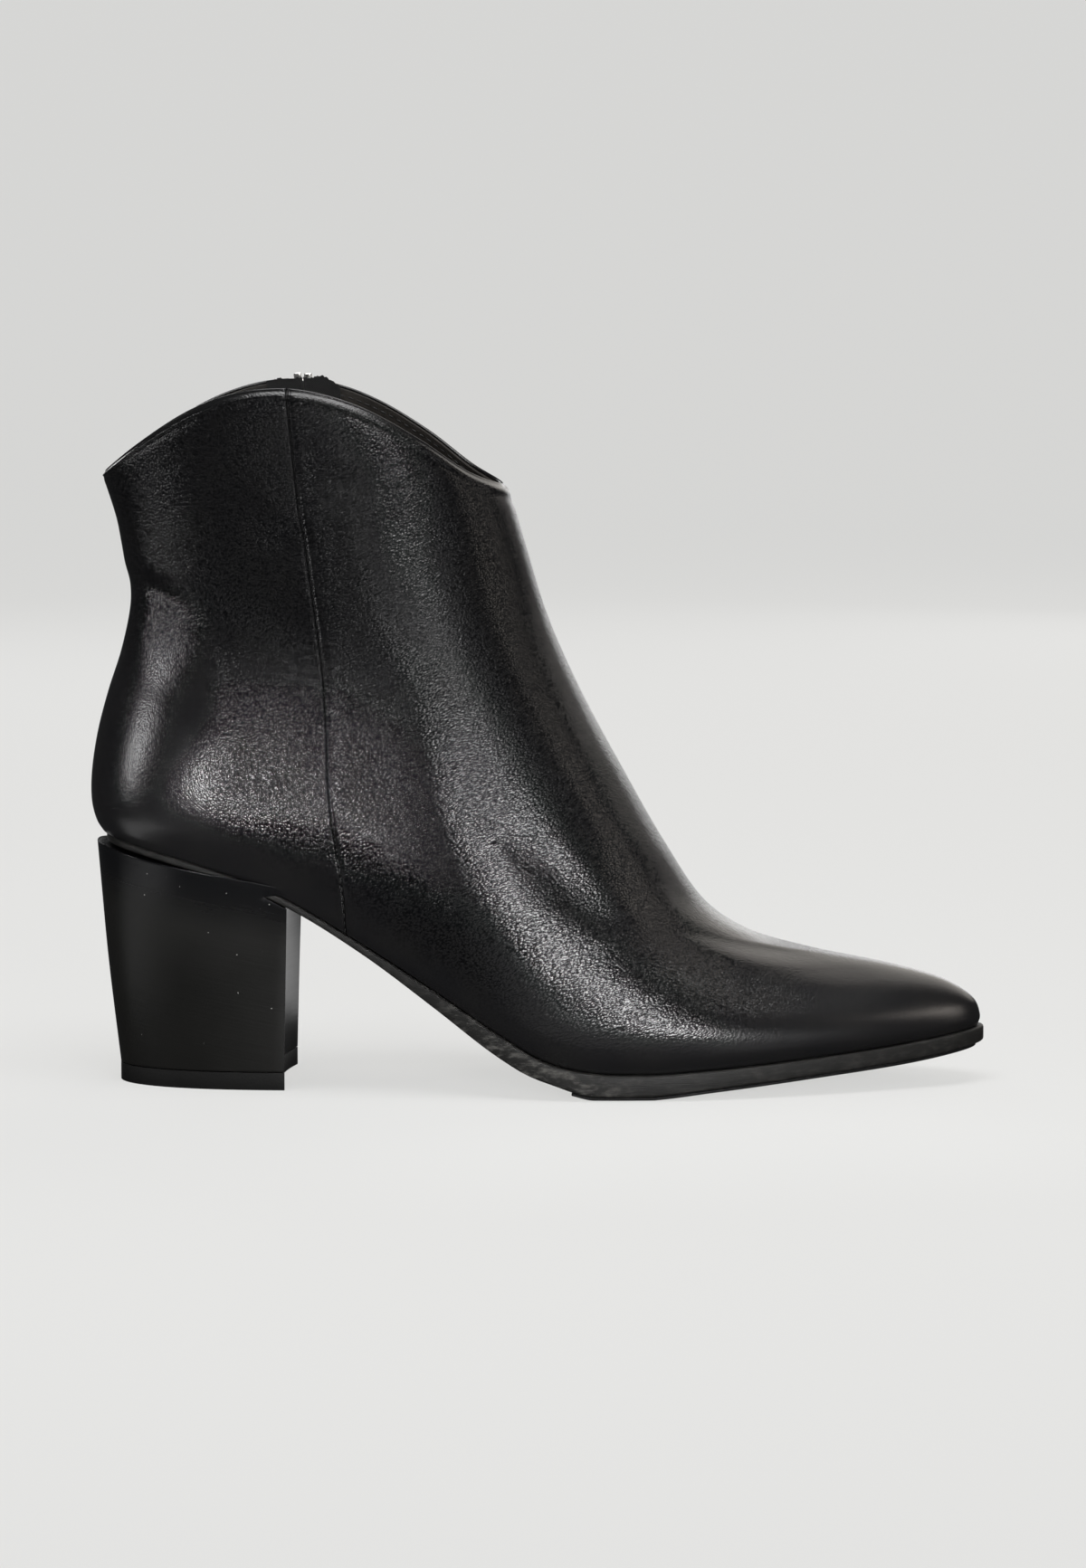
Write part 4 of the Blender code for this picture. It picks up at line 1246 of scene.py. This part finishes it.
def make_heel(rubber):
    base = TOP_PIECE + GAP

    def height_at(share):
        return lambda x: base + (read(RIM_ROWS, "height", x) - base) * share

    finish = polished_heel()
    floor_loop = heel_loop(0.0, lambda x: 0.0)
    top_piece = loft_mesh((floor_loop, heel_loop(0.0, lambda x: TOP_PIECE)), ladder=True)
    lift = add_piece("heel_lift", *top_piece, rubber)
    shares = np.concatenate(([0.0], np.linspace(RIM_BAND, 1 - RIM_BAND, HEEL_LEVELS), [1.0]))
    block = loft_mesh([heel_loop(share, height_at(share)) for share in shares], ladder=True)
    heel = add_piece("heel_stack", *block, finish)
    hollow = (breast_loop(0.0, -GAP), breast_loop(0.0, base), breast_loop(1.0, HEEL_HEIGHT))
    breast = add_piece("breast_cutter", *loft_mesh(hollow, ladder=False), finish)
    seat = slab(
        foot_outline(last_angle=np.pi / 2),
        SEAT_CLEARANCE,
        lambda x: sole_top(x) + SEAT_CUT,
        lambda x: sole_bottom(x) - GAP,
        [(SOLE_EDGE_ROUND, 0), (0, SOLE_EDGE_ROUND)],
    )
    dish = add_piece("seat_cutter", *seat, finish)
    carve(lift, [breast], LIFT_ROUND)
    carve(heel, [breast, dish], HEEL_ROUND)
    for cutter in (breast, dish):
        bpy.data.objects.remove(cutter)
    return heel, lift


heel, top_piece = make_heel(rubber)
for piece, node, slot in ((heel, "heel_block", "heel_stack"), (top_piece, "heel_top_piece", "black_rubber")):
    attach(piece, "boot")
    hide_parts(node)


# The studio: a pale paper floor that curves up to a wall, wide softboxes overhead and behind the boot, and a
# row of small ones round the camera's side. Narrow lamps pick out the vamp, ankle, collar, counter and toe,
# and panels on the floor stand for the light that it throws back.
FOCAL_PIXELS = 6948
IMAGE_HEIGHT = 1733
SENSOR = 36.0
AZIMUTH = 2.2
ELEVATION = 6.3
DISTANCE = 1.8
TARGET = Vector((0.0015, 0.0, 0.0856))
SWEEP_FLAT = 2600.0
SWEEP_RADIUS = 1200.0
SWEEP_HEIGHT = 3400.0
SWEEP_STEPS = 96


def pale_paper():
    return Finish("pale_floor").surface({
        "Base Color": (0.16, 0.16, 0.16, 1.0),
        "Roughness": 1.0,
        "Specular IOR Level": 0.0,
        "Emission Color": (0.60, 0.60, 0.59, 1.0),
        "Emission Strength": 1.0,
    })


def make_sweep():
    """A round floor whose rim curves up to a wall. The loft's last face, a lid, is left out."""
    turns = np.linspace(0, np.pi / 2, 13)
    bend = SWEEP_FLAT + SWEEP_RADIUS * np.sin(turns)
    radii = (300.0, 1000.0, 1800.0, *bend, bend[-1])
    heights = (0.0, 0.0, 0.0, *(SWEEP_RADIUS * (1 - np.cos(turns))), SWEEP_HEIGHT)
    around = np.linspace(0, 2 * np.pi, SWEEP_STEPS, endpoint=False)
    circle = np.column_stack((np.cos(around), np.sin(around), np.zeros(SWEEP_STEPS)))
    loops = [circle * radius + (0, 0, height) for radius, height in zip(radii, heights)]
    points, faces = loft_mesh(loops, ladder=False)
    floor = add_piece("floor", points, faces[:-1], pale_paper())
    floor.visible_glossy = False


def softbox(name, place, aim, size, power, spread=180, colour=(1.0, 1.0, 1.0)):
    light = bpy.data.lights.new(name, "AREA")
    light.shape = "RECTANGLE"
    light.size, light.size_y = size
    light.energy = power
    light.color = colour
    light.spread = np.radians(spread)
    lamp = add_object(name, light)
    lamp.location = place
    lamp.rotation_euler = (Vector(aim) - Vector(place)).to_track_quat("-Z", "Y").to_euler()
    lamp.visible_camera = False


def make_camera():
    azimuth, elevation = np.radians((AZIMUTH, ELEVATION))
    flat = np.cos(elevation)
    away = Vector((np.sin(azimuth) * flat, -np.cos(azimuth) * flat, np.sin(elevation)))
    camera = bpy.data.cameras.new("camera")
    camera.sensor_width = SENSOR
    camera.lens = FOCAL_PIXELS * SENSOR / IMAGE_HEIGHT
    eye = add_object("camera", camera)
    eye.location = TARGET + away * DISTANCE
    eye.rotation_euler = (-away).to_track_quat("-Z", "Y").to_euler()
    bpy.context.scene.camera = eye


make_sweep()
make_camera()
softbox("vamp_strip", (0.105, -0.33, 0.08), (0.03, -0.035, 0.037), (0.2, 0.05), 0.076, spread=38)
softbox("ankle_lamp", (-0.182, -0.261, 0.098), (-0.080, -0.035, 0.077), (0.06, 0.05), 0.0075, spread=16)
softbox("collar_lamp", (0.05, -0.44, 0.455), (-0.06, -0.03, 0.19), (0.1, 0.06), 0.012, spread=26)
softbox("fill_front", (1.31, -0.12, 0.53), (-0.02, 0.0, 0.12), (0.4, 0.5), 1.1, colour=(1.0, 0.93, 0.85))
softbox("fill_right", (0.75, -1.2, 0.33), (-0.02, 0.0, 0.12), (0.4, 0.28), 0.9)
softbox("fill_middle", (0.43, -2.14, 0.33), (-0.03, 0.0, 0.12), (0.35, 0.35), 1.4)
softbox("fill_left", (-0.2, -2.18, 0.1), (-0.05, 0.0, 0.14), (0.35, 0.2), 1.6)
softbox("fill_back", (-0.94, -2.0, 0.14), (-0.07, 0.0, 0.13), (0.35, 0.2), 0.3)
softbox("back_strip", (-1.08, -0.42, 0.30), (-0.12, -0.01, 0.1), (0.12, 0.42), 1.4)
softbox("counter_lamp", (-0.437, -0.145, 0.171), (-0.122, -0.012, 0.105), (0.03, 0.12), 0.0034, spread=16)
softbox("back_card", (0.25, 1.2, 0.08), (-0.05, 0.0, 0.08), (0.5, 0.3), 0.045, spread=60)
softbox("floor_glow", (-0.25, -0.085, 0.003), (-0.25, -0.085, 1.0), (0.09, 0.14), 0.045)
softbox("breast_glow", (0.03, 0.25, 0.003), (0.03, 0.25, 1.0), (0.16, 0.36), 0.18)
softbox("vamp_glow", (0.04, -0.10, 0.003), (0.04, -0.10, 1.0), (0.16, 0.06), 0.014)
softbox("far_left", (-0.64, 1.36, 0.6), (-0.05, 0.0, 0.1), (0.6, 0.4), 3.0)
softbox("far_right", (0.35, 1.6, 0.3), (-0.02, 0.0, 0.1), (0.4, 0.3), 0.8)
softbox("toe_lamp", (0.40, -0.075, 0.21), (0.11, 0.0, 0.02), (0.2, 0.2), 0.012, 36, (1.0, 0.92, 0.84))
softbox("rim_box", (0.58, 1.15, 1.05), (0.02, 0.0, 0.06), (1.0, 1.5), 6.0, colour=(1.0, 0.95, 0.88))
softbox("overhead", (0.0, -0.25, 1.2), (-0.03, 0.0, 0.15), (1.0, 0.5), 12.0)

world = bpy.data.worlds.new("studio")
world.use_nodes = True
world.node_tree.nodes["Background"].inputs["Color"].default_value = (0.95, 0.97, 1.0, 1.0)
world.node_tree.nodes["Background"].inputs["Strength"].default_value = 0.03
bpy.context.scene.world = world
bpy.context.scene.view_settings.view_transform = "Standard"
